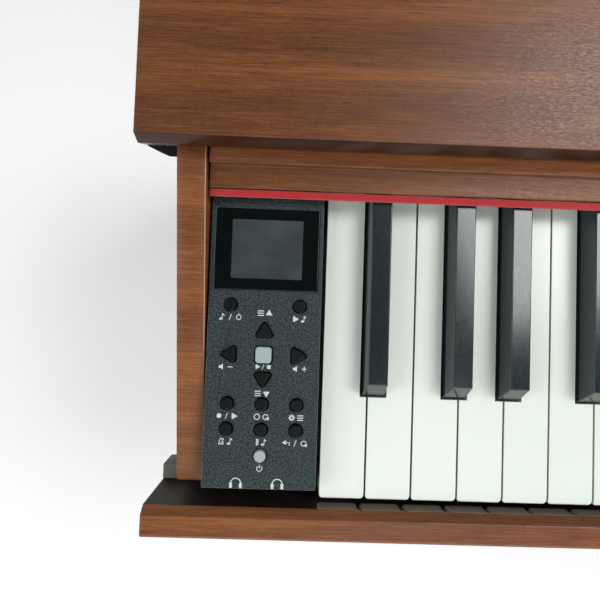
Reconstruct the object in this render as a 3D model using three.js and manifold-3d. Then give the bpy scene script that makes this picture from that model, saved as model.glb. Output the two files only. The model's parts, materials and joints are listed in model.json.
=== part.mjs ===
// A digital piano of 88 keys in a low wooden console, in millimetres, +Z up, the player on the -Y side.
import * as THREE from "three";
import { mergeVertices } from "three/addons/utils/BufferGeometryUtils.js";
import { ConvexGeometry } from "three/addons/geometries/ConvexGeometry.js";
import Module from "manifold-3d";

const wasm = await Module();
wasm.setup();

// General fits
const seatGap = 0.3;
const overrun = 5;
const arcSteps = 2;
const cornerSteps = 1;
const sweepSteps = 10;
const roundSteps = 16;

// Keyboard: the front of the white keys is y = 0 and their top is whiteTop while the piano is built
const whiteCount = 52;
const whitePitch = 23.5;
const keyGap = 1;
const whiteTop = 735;
const whiteLength = 212;
const headLength = 52;
const lipDepth = 20;
const bodyDepth = 14;
const rollLength = 6;
const rollDrop = 2.4;
const keyCorner = 1.4;
const keyWall = 2.5;
const keySkin = 3;
const blackBaseWidth = 10.8;
const blackTopWidth = 9.8;
const blackArris = 1;
const blackHeight = 12;
const blackSlope = 6.5;
const notchClearance = 1.5;
const capTail = 10;
const blackTailWidth = 8;
const blackTailDrop = 3;
const railDepth = 12;
const railHeight = 5;
const railClearance = 2;
const blackTailLift = 7;
const letters = ["C", "D", "E", "F", "G", "A", "B"];
const firstLetter = 5;
const blackShiftShares = { C: -0.1, D: 0.1, F: -0.13, G: 0, A: 0.13 };

// Key chassis
const chassisSheet = 3;
const chassisFront = 12;
const ridgeWidth = 3;
const guideWidth = 4;
const guideDepth = 8;
const guideInset = 10;
const whiteGuideDrop = 14.2;
const blackGuideDrop = 14.6;

// Console boards
const boardThickness = 15;
const armThickness = 14;
const endOverhang = 15;
const keybedThickness = 18;
const keybedDrop = 35;
const railThickness = 15.2;
const railGap = 4.8;
const railChamfer = 4;
const railRise = 4;
const railSkirt = 5;
const railRound = 2;
const armFront = 4.2;
const armFrontRise = -5;
const armRound = 5;
const topUnderside = 22;
const topFront = 170;
const topNoseReach = 2.6;
const topNoseDrop = 6;
const backThickness = 3;
const nameClearance = 1.3;
const nameFront = 153;
const treadThickness = 3.2;
const treadLength = 11;
const stepRise = 3;
const stepRound = 1;
const nameSeatFront = 176;
const nameDepth = 48;
const nameEndGap = 1;
const feltWidth = 3.6;
const feltThickness = 2.4;
const soundSlotLength = 84;
const soundSlotWidth = 9;
const soundSlotPitch = 20;
const soundSlotCount = 4;

// Stand
const sideFrontSetback = 20;
const sideWaist = 120;
const sideBend = 150;
const footWidth = 28;
const footHeight = 60;
const footToe = 26;
const kickHeight = 260;
const kickSetback = 70;
const pedalBeamHeight = 110;
const pedalBeamDepth = 60;
const pedalBeamLift = 25;
const pedalHousingWidth = 270;
const pedalHousingReach = 45;
const pedalHousingRound = 12;
const pedalPitch = 72;
const pedalWidth = 24;
const pedalTongue = 62;
const pedalThickness = 6;
const pedalSlotHeight = 30;
const pedalSlotClearance = 3;
const pedalHubRadius = 6;
const pedalCavityDepth = 62;
const pedalHubLift = 44;

// Control panel and its pieces
const panelWidth = 56;
const panelKeyGap = 2;
const panelArmGap = 1.3;
const panelFront = 7;
const panelBackReach = 5;
const panelRise = 8;
const panelSkin = 2.5;
const panelWall = 2.5;
const panelBevel = 1.2;
const glassWidth = 51.2;
const glassDepth = 40.4;
const glassThickness = 1.6;
const glassProud = 0.4;
const glassClearance = 0.3;
const glassCentreBack = 28.2;
const displayWindowWidth = 35;
const displayWindowDepth = 29.5;
const columnPitch = 17.1;
const columnCentreShare = 0.504;
const roundHole = 7.3;
const buttonProud = 1.6;
const buttonCrown = 0.5;
const buttonTravel = 1.1;
const flangeRim = 1.3;
const flangeThickness = 1.2;
const arrowHole = 10;
const arrowRound = 1.6;
const squareHole = 7.8;
const squareRound = 1.6;
const buttonClearance = 0.35;
const rowFromFront = { power: 16.3, lower: 29, upper: 41.4, down: 53.8, middle: 65.6, up: 77.6, top: 90 };
const boardSheet = 1.6;
const switchHeight = 4;
const switchSize = 5;
const panelLedge = 3;

// Inside and back
const endBlockWidth = 20;
const endBlockKeyGap = 2;
const speakerRadius = 55;
const speakerFlange = 3;
const speakerConeRadius = 44;
const speakerDepth = 36;
const magnetRadius = 32;
const magnetHeight = 13;
const coneNeckShare = 0.75;
const coneWall = 2;
const speakerFrontGap = 21.5;
const speakerBackGap = 39.5;
const speakerBoardGap = 30;
const mainBoardWidth = 150;
const mainBoardDepth = 90;
const mainBoardLift = 6;
const mainBoardInset = 45;
const standoffRadius = 4;
const heatsinkHeight = 26;
const heatsinkWidth = 60;
const finThickness = 2.4;
const finPitch = 6;
const heatsinkInset = 16;
const heatsinkDepth = 24;
const capacitorRadius = 9;
const capacitorPitch = 22.5;
const capacitorHeight = 28;
const inletWidth = 96;
const inletHeight = 34;
const inletInset = 90;
const inletPlate = 2;
const inletRim = 5;
const socketDepth = 14;
const powerSocketRadius = 3.6;
const powerPinRadius = 0.9;
const pedalSocketWidth = 12;
const pedalSocketHeight = 8;
const dataSocketWidth = 8.6;
const dataSocketHeight = 7.8;
const headphoneWidth = 54;
const headphoneHeight = 26;
const headphoneDepth = 46;
const headphoneFront = 8;
const jackRadius = 3.3;
const jackDepth = 32;
const jackPitch = 20.4;
const jackRingRadius = 6;
const jackRingProud = 2;

// Music rest on the top board
const restWidth = 620;
const restHeight = 146;
const restThickness = 9;
const restFront = 243;
const restLean = 18;
const restLedge = 18;
const restLip = 12;
const restCorner = 22;
const restEdge = 9;
const restBack = 2;
const hingeLeaf = 14;
const hingeSheet = 1.5;
const hingeRadius = 3;
const hingeShare = 0.94;

// Places worked out from the sizes above
const keyboardWidth = whiteCount * whitePitch;
const panelRight = -panelKeyGap;
const panelLeft = panelRight - panelWidth;
const leftArmInner = panelLeft - panelArmGap;
const leftEnd = leftArmInner - armThickness - endOverhang;
const blockLeft = keyboardWidth + endBlockKeyGap;
const blockRight = blockLeft + endBlockWidth;
const rightArmInner = blockRight + panelArmGap;
const rightEnd = rightArmInner + armThickness + endOverhang;
const railInner = -railGap;
const railOuter = railInner - railThickness;
const keybedTop = whiteTop - keybedDrop;
const keybedBottom = keybedTop - keybedThickness;
const armTop = whiteTop + topUnderside;
const topBottom = armTop + seatGap;
const topTop = topBottom + boardThickness;
const bedLeft = leftArmInner + seatGap;
const bedRight = rightArmInner - seatGap;
const bodyBottom = whiteTop - bodyDepth;
const chassisBottom = keybedTop + seatGap;
const chassisTop = chassisBottom + chassisSheet;
const whitePivot = whiteLength - railDepth / 2;
const blackRailFront = whiteLength + railClearance;
const blackPivot = blackRailFront + railDepth / 2;
const chassisBack = blackRailFront + railDepth;
const speakerCentre = chassisBack + speakerFrontGap + speakerRadius;
const backPlane = speakerCentre + speakerRadius + speakerBackGap + backThickness;
const speakerInset = mainBoardInset + mainBoardWidth + speakerBoardGap + speakerRadius;
const blackFront = headLength + notchClearance;
const capBack = nameFront + capTail;
const nameBottom = whiteTop + blackHeight + nameClearance;
const treadTop = nameBottom + treadThickness;
const panelTop = whiteTop + panelRise;
const panelBack = nameFront + panelBackReach;
const columnCentre = panelLeft + panelWidth * columnCentreShare;
const backInner = backPlane - backThickness;
const standTop = keybedBottom - seatGap;
const backOfBed = backInner - seatGap;

// Colours
const finishes = {
  walnut: { color: 0x8a583c, roughness: 0.45 },
  walnutDark: { color: 0x6b4530, roughness: 0.5 },
  darkBoard: { color: 0x1c1614, roughness: 0.8 },
  ivory: { color: 0xe5efe6, roughness: 0.3 },
  ebony: { color: 0x1a1c1c, roughness: 0.35 },
  felt: { color: 0xb43239, roughness: 1 },
  panel: { color: 0x2f3839, roughness: 0.7 },
  button: { color: 0x141617, roughness: 0.5 },
  greyButton: { color: 0x9aa0a0, roughness: 0.5 },
  glass: { color: 0x101517, roughness: 0.1 },
  steel: { color: 0xb9bcbe, roughness: 0.35, metalness: 0.9 },
  brass: { color: 0xc9a24a, roughness: 0.3, metalness: 0.9 },
  circuit: { color: 0x1f5b3a, roughness: 0.6 },
  blackPlastic: { color: 0x17191a, roughness: 0.6 },
  cone: { color: 0x202020, roughness: 0.9 },
  hardboard: { color: 0x3a2a20, roughness: 0.9 },
};

const piano = new THREE.Group();
piano.position.set(-(leftEnd + rightEnd) / 2, -(railOuter + backPlane) / 2, 0);

// A closed geometry becomes a solid that can be joined and cut
function solid(geometry) {
  const bare = geometry.index ? geometry.toNonIndexed() : geometry.clone();
  bare.deleteAttribute("normal");
  bare.deleteAttribute("uv");
  const merged = mergeVertices(bare, seatGap / 1000);
  return new wasm.Manifold(
    new wasm.Mesh({
      numProp: 3,
      vertProperties: merged.attributes.position.array,
      triVerts: new Uint32Array(merged.index.array),
    }),
  );
}

function geometryOf(body) {
  const { numProp, numVert, vertProperties, triVerts } = body.getMesh();
  const places = new Float32Array(numVert * 3);
  for (let i = 0; i < numVert; i++) {
    places.set(vertProperties.subarray(i * numProp, i * numProp + 3), i * 3);
  }
  const geometry = new THREE.BufferGeometry();
  geometry.setAttribute("position", new THREE.BufferAttribute(places, 3));
  geometry.setIndex(new THREE.BufferAttribute(triVerts, 1));
  geometry.computeVertexNormals();
  return geometry;
}

function add(name, body, finish) {
  const settings = { name: finish, flatShading: true, ...finishes[finish] };
  const mesh = new THREE.Mesh(geometryOf(body), new THREE.MeshStandardMaterial(settings));
  mesh.name = name;
  piano.add(mesh);
}

const join = (first, ...rest) => rest.reduce((sum, piece) => sum.add(piece), first);
const cut = (first, ...rest) => rest.reduce((left, piece) => left.subtract(piece), first);

function block(x0, x1, y0, y1, z0, z1) {
  const box = new THREE.BoxGeometry(x1 - x0, y1 - y0, z1 - z0);
  return solid(box.translate((x0 + x1) / 2, (y0 + y1) / 2, (z0 + z1) / 2));
}

function outline(points) {
  return new THREE.Shape(points.map(([u, v]) => new THREE.Vector2(u, v)));
}

function extrude(shape, depth, xAxis, yAxis, zAxis, steps) {
  const settings = { depth, bevelEnabled: false, curveSegments: steps };
  const turn = new THREE.Matrix4().makeBasis(xAxis, yAxis, zAxis);
  return solid(new THREE.ExtrudeGeometry(shape, settings).applyMatrix4(turn));
}

const X = new THREE.Vector3(1, 0, 0);
const Y = new THREE.Vector3(0, 1, 0);
const Z = new THREE.Vector3(0, 0, 1);

// A shape in y and z, pulled along x
function alongX(shape, x0, x1, steps = arcSteps) {
  return extrude(shape, x1 - x0, Y, Z, X, steps).translate([x0, 0, 0]);
}

// A shape in x and z, pulled along y
function alongY(shape, y0, y1, steps = arcSteps) {
  return extrude(shape, y1 - y0, X, Z, Y.clone().negate(), steps).translate([0, y1, 0]);
}

// A shape in x and y, pulled along z
function alongZ(shape, z0, z1, steps = arcSteps) {
  return extrude(shape, z1 - z0, X, Y, Z, steps).translate([0, 0, z0]);
}

function roundedRectangle(x0, x1, y0, y1, radius) {
  const shape = new THREE.Shape();
  shape.moveTo(x0 + radius, y0);
  shape.lineTo(x1 - radius, y0);
  shape.absarc(x1 - radius, y0 + radius, radius, -Math.PI / 2, 0);
  shape.lineTo(x1, y1 - radius);
  shape.absarc(x1 - radius, y1 - radius, radius, 0, Math.PI / 2);
  shape.lineTo(x0 + radius, y1);
  shape.absarc(x0 + radius, y1 - radius, radius, Math.PI / 2, Math.PI);
  shape.lineTo(x0, y0 + radius);
  shape.absarc(x0 + radius, y0 + radius, radius, Math.PI, Math.PI * 1.5);
  return shape;
}

function rod(radius, length, steps = roundSteps) {
  return solid(new THREE.CylinderGeometry(radius, radius, length, steps));
}

// A cylinder along each axis, from its low end
function rodX(radius, x0, x1, y, z) {
  return rod(radius, x1 - x0).rotate([0, 0, 90]).translate([(x0 + x1) / 2, y, z]);
}

function rodY(radius, x, y0, y1, z) {
  return rod(radius, y1 - y0).translate([x, (y0 + y1) / 2, z]);
}

function rodZ(radius, x, y, z0, z1) {
  return rod(radius, z1 - z0).rotate([90, 0, 0]).translate([x, y, (z0 + z1) / 2]);
}

// Keys
const letterOf = (index) => letters[(index + firstLetter) % letters.length];
const octaveOf = (index) => Math.floor((index + firstLetter) / letters.length);

// The middle of the black key between a white key and the next, or null where there is none
function blackCentre(index) {
  const share = blackShiftShares[letterOf(index)];
  if (share === undefined || index < 0 || index >= whiteCount - 1) {
    return null;
  }
  return (index + 1 + share) * whitePitch;
}

// The two sides of a white key's tail, between the black keys beside it
function tailSides(index) {
  const halfNotch = blackBaseWidth / 2 + notchClearance;
  const before = index > 0 ? blackCentre(index - 1) : null;
  const after = blackCentre(index);
  return [
    before === null ? index * whitePitch + keyGap / 2 : before + halfNotch,
    after === null ? (index + 1) * whitePitch - keyGap / 2 : after - halfNotch,
  ];
}

function whiteKey(index) {
  const left = index * whitePitch + keyGap / 2;
  const right = (index + 1) * whitePitch - keyGap / 2;
  const [tailLeft, tailRight] = tailSides(index);

  const side = new THREE.Shape();
  side.moveTo(0, whiteTop - lipDepth);
  side.lineTo(keyWall, whiteTop - lipDepth);
  side.lineTo(keyWall, bodyBottom);
  side.lineTo(whiteLength, bodyBottom);
  side.lineTo(whiteLength, whiteTop);
  side.lineTo(rollLength, whiteTop);
  side.quadraticCurveTo(0, whiteTop, 0, whiteTop - rollDrop);

  const top = new THREE.Shape();
  top.moveTo(left + keyCorner, 0);
  top.lineTo(right - keyCorner, 0);
  top.lineTo(right, keyCorner);
  top.lineTo(right, headLength);
  top.lineTo(tailRight, headLength);
  top.lineTo(tailRight, whiteLength);
  top.lineTo(tailLeft, whiteLength);
  top.lineTo(tailLeft, headLength);
  top.lineTo(left, headLength);
  top.lineTo(left, keyCorner);

  const plan = alongZ(top, whiteTop - lipDepth, whiteTop, cornerSteps);
  const body = alongX(side, left, right).intersect(plan);
  const roof = whiteTop - keySkin;
  const floor = whiteTop - lipDepth - overrun;
  const tailEnd = whiteLength - railDepth;
  const hollow = block(tailLeft + keyWall, tailRight - keyWall, keyWall * 2, tailEnd, floor, roof);
  return cut(body, hollow);
}

function whiteSet(indices) {
  const keys = indices.map(whiteKey);
  const left = indices[0] * whitePitch + keyGap / 2;
  const right = (indices.at(-1) + 1) * whitePitch - keyGap / 2;
  const front = whiteLength - railDepth;
  return join(block(left, right, front, whiteLength, bodyBottom, bodyBottom + railHeight), ...keys);
}

function blackKey(centre) {
  const points = [];
  for (const side of [-1, 1]) {
    for (const end of [0, 1]) {
      const at = (halfWidth, y, z) => points.push(new THREE.Vector3(centre + side * halfWidth, y, z));
      const shoulder = blackHeight - blackArris;
      const shoulderFront = blackFront + (blackSlope * shoulder) / blackHeight;
      at(blackBaseWidth / 2, end ? capBack : blackFront, bodyBottom);
      at(blackBaseWidth / 2, end ? capBack : blackFront, whiteTop);
      at(blackTopWidth / 2, end ? capBack : shoulderFront, whiteTop + shoulder);
      at(blackTopWidth / 2 - blackArris, end ? capBack : blackFront + blackSlope + blackArris,
        whiteTop + blackHeight);
    }
  }
  const cap = solid(new ConvexGeometry(points));
  const hollowLeft = centre - blackTailWidth / 2 + keyWall / 2;
  const hollowRight = centre + blackTailWidth / 2 - keyWall / 2;
  const roof = whiteTop - keySkin;
  const front = blackFront + keyWall * 2;
  const hollow = block(hollowLeft, hollowRight, front, capBack - keyWall, bodyBottom - overrun, roof);
  const tailTop = whiteTop - blackTailDrop;
  const lift = bodyBottom + blackTailLift;
  const tail = outline([
    [capBack - keyWall, lift],
    [blackRailFront, lift],
    [blackRailFront, bodyBottom],
    [blackRailFront + railDepth, bodyBottom],
    [blackRailFront + railDepth, tailTop],
    [capBack - keyWall, tailTop],
  ]);
  return cut(cap, hollow).add(alongX(tail, centre - blackTailWidth / 2, centre + blackTailWidth / 2));
}

function blackSet(centres) {
  const left = centres[0] - blackTailWidth / 2;
  const right = centres.at(-1) + blackTailWidth / 2;
  const back = blackRailFront + railDepth;
  const rail = block(left, right, blackRailFront, back, bodyBottom, bodyBottom + railHeight);
  return join(rail, ...centres.map(blackKey));
}

function addKeys() {
  const octaves = new Map();
  for (let index = 0; index < whiteCount; index++) {
    const octave = octaveOf(index);
    const last = index === whiteCount - 1 && octave > 1;
    const key = last ? octave - 1 : octave;
    octaves.set(key, [...(octaves.get(key) ?? []), index]);
  }
  for (const [octave, indices] of octaves) {
    const blacks = indices.map(blackCentre).filter((centre) => centre !== null);
    if (octave === 0) {
      indices.forEach((index) => add(letterOf(index) + octave, whiteSet([index]), "ivory"));
      add("A_sharp" + octave, blackSet(blacks), "ebony");
    } else {
      add("white_keys_" + octave, whiteSet(indices), "ivory");
      add("black_keys_" + octave, blackSet(blacks), "ebony");
    }
  }
}

function keyChassis() {
  const ridgeTop = bodyBottom - seatGap;
  const ridge = (pivot) =>
    block(keyGap, keyboardWidth - keyGap, pivot - ridgeWidth / 2, pivot + ridgeWidth / 2,
      chassisBottom, ridgeTop);
  const guide = (centre, front, top) =>
    block(centre - guideWidth / 2, centre + guideWidth / 2, front, front + guideDepth, chassisBottom, top);
  const guides = [];
  for (let index = 0; index < whiteCount; index++) {
    const [tailLeft, tailRight] = tailSides(index);
    guides.push(guide((tailLeft + tailRight) / 2, chassisFront + guideInset / 2, whiteTop - whiteGuideDrop));
    const centre = blackCentre(index);
    if (centre !== null) {
      guides.push(guide(centre, blackFront + guideInset, whiteTop - blackGuideDrop));
    }
  }
  const tray = block(keyGap, keyboardWidth - keyGap, chassisFront, chassisBack, chassisBottom, chassisTop);
  return join(tray, ridge(whitePivot), ridge(blackPivot), ...guides);
}

// Console boards
function soundSlots(centreX) {
  const slots = [];
  for (let i = 0; i < soundSlotCount; i++) {
    const middle = centreX + (i - (soundSlotCount - 1) / 2) * soundSlotPitch;
    const shape = roundedRectangle(
      middle - soundSlotWidth / 2, middle + soundSlotWidth / 2,
      speakerCentre - soundSlotLength / 2, speakerCentre + soundSlotLength / 2,
      soundSlotWidth / 2 - seatGap,
    );
    slots.push(alongZ(shape, keybedBottom - overrun, keybedTop + overrun, cornerSteps));
  }
  return slots;
}

const speakerCentres = [leftArmInner + speakerInset, rightArmInner - speakerInset];

function keybed() {
  const front = railInner + seatGap;
  const earBack = armFront - seatGap;
  const plan = outline([
    [leftEnd, front],
    [rightEnd, front],
    [rightEnd, earBack],
    [bedRight, earBack],
    [bedRight, backOfBed],
    [bedLeft, backOfBed],
    [bedLeft, earBack],
    [leftEnd, earBack],
  ]);
  return cut(alongZ(plan, keybedBottom, keybedTop), ...speakerCentres.flatMap(soundSlots));
}

function frontRail() {
  const top = whiteTop + railRise;
  const bottom = keybedBottom - railSkirt;
  const side = new THREE.Shape();
  side.moveTo(railOuter + railRound, bottom);
  side.lineTo(railInner, bottom);
  side.lineTo(railInner, top - railChamfer);
  side.lineTo(railInner - railChamfer, top);
  side.lineTo(railOuter + railRound, top);
  side.absarc(railOuter + railRound, top - railRound, railRound, Math.PI / 2, Math.PI);
  side.lineTo(railOuter, bottom + railRound);
  side.absarc(railOuter + railRound, bottom + railRound, railRound, Math.PI, Math.PI * 1.5);
  return alongX(side, leftEnd, rightEnd);
}

function arm(inner, outer) {
  const front = whiteTop + armFrontRise;
  const side = new THREE.Shape();
  side.moveTo(armFront, keybedBottom);
  side.lineTo(backPlane, keybedBottom);
  side.lineTo(backPlane, armTop);
  side.lineTo(topFront, armTop);
  side.lineTo(armFront + armRound, front);
  side.quadraticCurveTo(armFront, front, armFront, front - armRound);
  return alongX(side, Math.min(inner, outer), Math.max(inner, outer));
}

function topBoard() {
  const side = new THREE.Shape();
  side.moveTo(topFront, topBottom);
  side.lineTo(backPlane, topBottom);
  side.lineTo(backPlane, topTop);
  side.lineTo(topFront, topTop);
  side.lineTo(topFront - topNoseReach, topTop - topNoseDrop);
  return alongX(side, leftEnd, rightEnd);
}

function nameboard() {
  const stepFront = nameFront + treadLength;
  const stepTop = treadTop + stepRise;
  const side = new THREE.Shape();
  side.moveTo(nameFront, nameBottom);
  side.lineTo(nameFront + nameDepth, nameBottom);
  side.lineTo(nameFront + nameDepth, armTop);
  side.lineTo(nameSeatFront, armTop);
  side.lineTo(nameSeatFront, stepTop);
  side.lineTo(stepFront + stepRound, stepTop);
  side.absarc(stepFront + stepRound, stepTop - stepRound, stepRound, Math.PI / 2, Math.PI);
  side.lineTo(stepFront, treadTop);
  side.lineTo(nameFront, treadTop);
  return alongX(side, leftArmInner + nameEndGap, rightArmInner - nameEndGap);
}

function feltStrip() {
  const back = nameFront - seatGap;
  const bottom = nameBottom;
  return block(panelLeft, blockRight, back - feltWidth, back, bottom, bottom + feltThickness);
}

function backPanel() {
  const panel = block(bedLeft, bedRight, backInner, backPlane, keybedBottom, armTop);
  const left = leftArmInner + inletInset;
  const bottom = keybedTop + inletRim;
  const window = block(left, left + inletWidth, backInner - overrun, backPlane + overrun,
    bottom, bottom + inletHeight);
  return cut(panel, window);
}

// Stand
function sidePanel(inner, outer) {
  const side = new THREE.Shape();
  const front = sideFrontSetback;
  const foot = footHeight + seatGap;
  const waist = front + sideWaist;
  side.moveTo(front, foot);
  side.lineTo(backPlane, foot);
  side.lineTo(backPlane, standTop);
  side.lineTo(front, standTop);
  side.bezierCurveTo(front, standTop - sideBend, waist, standTop - sideBend, waist, standTop - sideBend * 2);
  side.lineTo(waist, foot + sideBend);
  side.bezierCurveTo(waist, foot + sideBend / 2, front, foot + sideBend / 2, front, foot);
  return alongX(side, Math.min(inner, outer), Math.max(inner, outer), sweepSteps);
}

// A foot reaches outwards from the inner face of its side panel, so that the beam fits between the two
function foot(inner, outwards) {
  const middle = inner + (outwards * footWidth) / 2;
  const plan = roundedRectangle(middle - footWidth / 2, middle + footWidth / 2,
    armFront, backPlane, footWidth / 2 - seatGap);
  const side = new THREE.Shape();
  side.moveTo(armFront, 0);
  side.lineTo(backPlane, 0);
  side.lineTo(backPlane, footHeight);
  side.lineTo(armFront + footToe * 2, footHeight);
  side.quadraticCurveTo(armFront, footHeight, armFront, footToe);
  return alongZ(plan, 0, footHeight).intersect(alongX(side, middle - footWidth, middle + footWidth));
}

function kickPanel() {
  const back = backPlane - kickSetback;
  return block(bedLeft, bedRight, back - boardThickness, back, standTop - kickHeight, standTop);
}

const pedalBeamBack = backPlane - kickSetback + boardThickness;
const pedalBeamFront = pedalBeamBack - pedalBeamDepth;
const pedalHousingFront = pedalBeamFront - pedalHousingReach;
const pedalHub = pedalBeamLift + pedalHubLift;
const pedalMiddle = (leftEnd + rightEnd) / 2;
const pedalCentres = [-1, 0, 1].map((place) => pedalMiddle + place * pedalPitch);
const pedalHubBack = pedalHousingFront + pedalCavityDepth;

function pedalBeam() {
  const top = pedalBeamLift + pedalBeamHeight;
  const beam = block(bedLeft, bedRight, pedalBeamFront, pedalBeamBack, pedalBeamLift, top);
  const plan = roundedRectangle(
    pedalMiddle - pedalHousingWidth / 2, pedalMiddle + pedalHousingWidth / 2,
    pedalHousingFront, pedalBeamFront + pedalHousingRound * 2, pedalHousingRound,
  );
  const housing = alongZ(plan, pedalBeamLift, top);
  const slots = pedalCentres.map((centre) => {
    const half = pedalWidth / 2 + pedalSlotClearance;
    return block(centre - half, centre + half, pedalHousingFront - overrun,
      pedalHubBack + pedalHubRadius + pedalSlotClearance,
      pedalHub - pedalSlotHeight, pedalHub + pedalHubRadius + pedalSlotClearance);
  });
  const hubRod = pedalHubRadius / 2;
  const reach = pedalPitch + pedalWidth;
  const axle = rodX(hubRod, pedalMiddle - reach, pedalMiddle + reach, pedalHubBack, pedalHub);
  return cut(join(beam, housing), ...slots).add(axle);
}

function pedal(centre) {
  const tip = pedalHousingFront - pedalTongue;
  const plan = new THREE.Shape();
  const half = pedalWidth / 2;
  const neck = half / 2;
  plan.moveTo(centre - neck, pedalHubBack);
  plan.lineTo(centre - neck, pedalHousingFront);
  plan.lineTo(centre - half, tip + pedalTongue / 2);
  plan.lineTo(centre - half, tip + half);
  plan.absarc(centre, tip + half, half, Math.PI, Math.PI * 2);
  plan.lineTo(centre + half, tip + pedalTongue / 2);
  plan.lineTo(centre + neck, pedalHousingFront);
  plan.lineTo(centre + neck, pedalHubBack);
  const plate = alongZ(plan, pedalHub - pedalThickness / 2, pedalHub + pedalThickness / 2);
  const hub = rodX(pedalHubRadius, centre - half, centre + half, pedalHubBack, pedalHub);
  const bore = rodX(pedalHubRadius / 2 + seatGap, centre - half - overrun, centre + half + overrun,
    pedalHubBack, pedalHub);
  return cut(join(plate, hub), bore);
}

// Music rest
const restPivotY = restFront + restLedge + hingeRadius;
const restPivotZ = topTop + seatGap + hingeRadius;

function restHinge() {
  const half = (restWidth * hingeShare) / 2;
  const left = pedalMiddle - half;
  const right = pedalMiddle + half;
  const bottom = topTop + seatGap;
  const front = restPivotY - hingeRadius - hingeLeaf;
  const leaf = block(left, right, front, restPivotY, bottom, bottom + hingeSheet);
  return join(leaf, rodX(hingeRadius, left, right, restPivotY, restPivotZ));
}

function musicRest() {
  const left = pedalMiddle - restWidth / 2;
  const right = pedalMiddle + restWidth / 2;
  const bottom = hingeRadius + seatGap;
  const face = new THREE.Shape();
  face.moveTo(left, bottom);
  face.lineTo(right, bottom);
  face.lineTo(right, bottom + restHeight - restCorner);
  face.quadraticCurveTo(right, bottom + restHeight, right - restCorner, bottom + restHeight);
  face.lineTo(left + restCorner, bottom + restHeight);
  face.quadraticCurveTo(left, bottom + restHeight, left, bottom + restHeight - restCorner);
  const plate = alongY(face, restBack - restThickness, restBack);
  const ledgeBack = restBack - restThickness + seatGap;
  const ledge = block(left, right, ledgeBack - restLedge, ledgeBack, bottom, bottom + restEdge);
  const lip = block(left, right, ledgeBack - restLedge, ledgeBack - restLedge + restEdge / 2,
    bottom, bottom + restLip);
  return join(plate, ledge, lip).rotate([-restLean, 0, 0]).translate([0, restPivotY, restPivotZ]);
}

// Control panel
const switchTop = panelTop - panelSkin - seatGap - flangeThickness - buttonTravel - seatGap;
const panelBoardTop = switchTop - switchHeight;
const glassBack = nameFront - glassCentreBack + glassDepth / 2;

// Each button's name, middle and outline
const roundOutline = (grow) => {
  const shape = new THREE.Shape();
  for (const third of [0, 1, 2]) {
    const start = (third * Math.PI * 2) / 3;
    shape.absarc(0, 0, roundHole / 2 + grow, start, start + (Math.PI * 2) / 3);
  }
  return shape;
};

const squareOutline = (grow) => {
  const half = squareHole / 2 + grow;
  return roundedRectangle(-half, half, -half, half, squareRound);
};

// A triangle with round corners that points along the given angle
const arrowOutline = (angle) => (grow) => {
  const shape = new THREE.Shape();
  const reach = arrowHole / 2 + grow - arrowRound;
  const turns = [0, 1, 2].map((corner) => angle + (corner * Math.PI * 2) / 3);
  turns.forEach((turn, corner) => {
    const x = Math.cos(turn) * reach;
    const y = Math.sin(turn) * reach;
    const start = turn - Math.PI / 3;
    if (corner === 0) {
      shape.moveTo(x + Math.cos(start) * arrowRound, y + Math.sin(start) * arrowRound);
    }
    shape.absarc(x, y, arrowRound, start, turn + Math.PI / 3);
  });
  return shape;
};

const buttons = [
  ["mode_button", -1, "top", roundOutline, "button"],
  ["demo_button", 1, "top", roundOutline, "button"],
  ["up_button", 0, "up", arrowOutline(Math.PI / 2), "button"],
  ["left_button", -1, "middle", arrowOutline(Math.PI), "button"],
  ["start_button", 0, "middle", squareOutline, "greyButton"],
  ["right_button", 1, "middle", arrowOutline(0), "button"],
  ["down_button", 0, "down", arrowOutline(-Math.PI / 2), "button"],
  ["record_button", -1, "upper", roundOutline, "button"],
  ["sync_button", 0, "upper", roundOutline, "button"],
  ["setting_button", 1, "upper", roundOutline, "button"],
  ["beat_button", -1, "lower", roundOutline, "button"],
  ["chord_button", 0, "lower", roundOutline, "button"],
  ["return_button", 1, "lower", roundOutline, "button"],
  ["power_button", 0, "power", roundOutline, "greyButton"],
].map(([name, column, row, shape, finish]) => ({
  name,
  x: columnCentre + column * columnPitch,
  y: panelFront + rowFromFront[row],
  shape,
  steps: shape === roundOutline ? arcSteps : cornerSteps,
  finish,
}));

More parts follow.
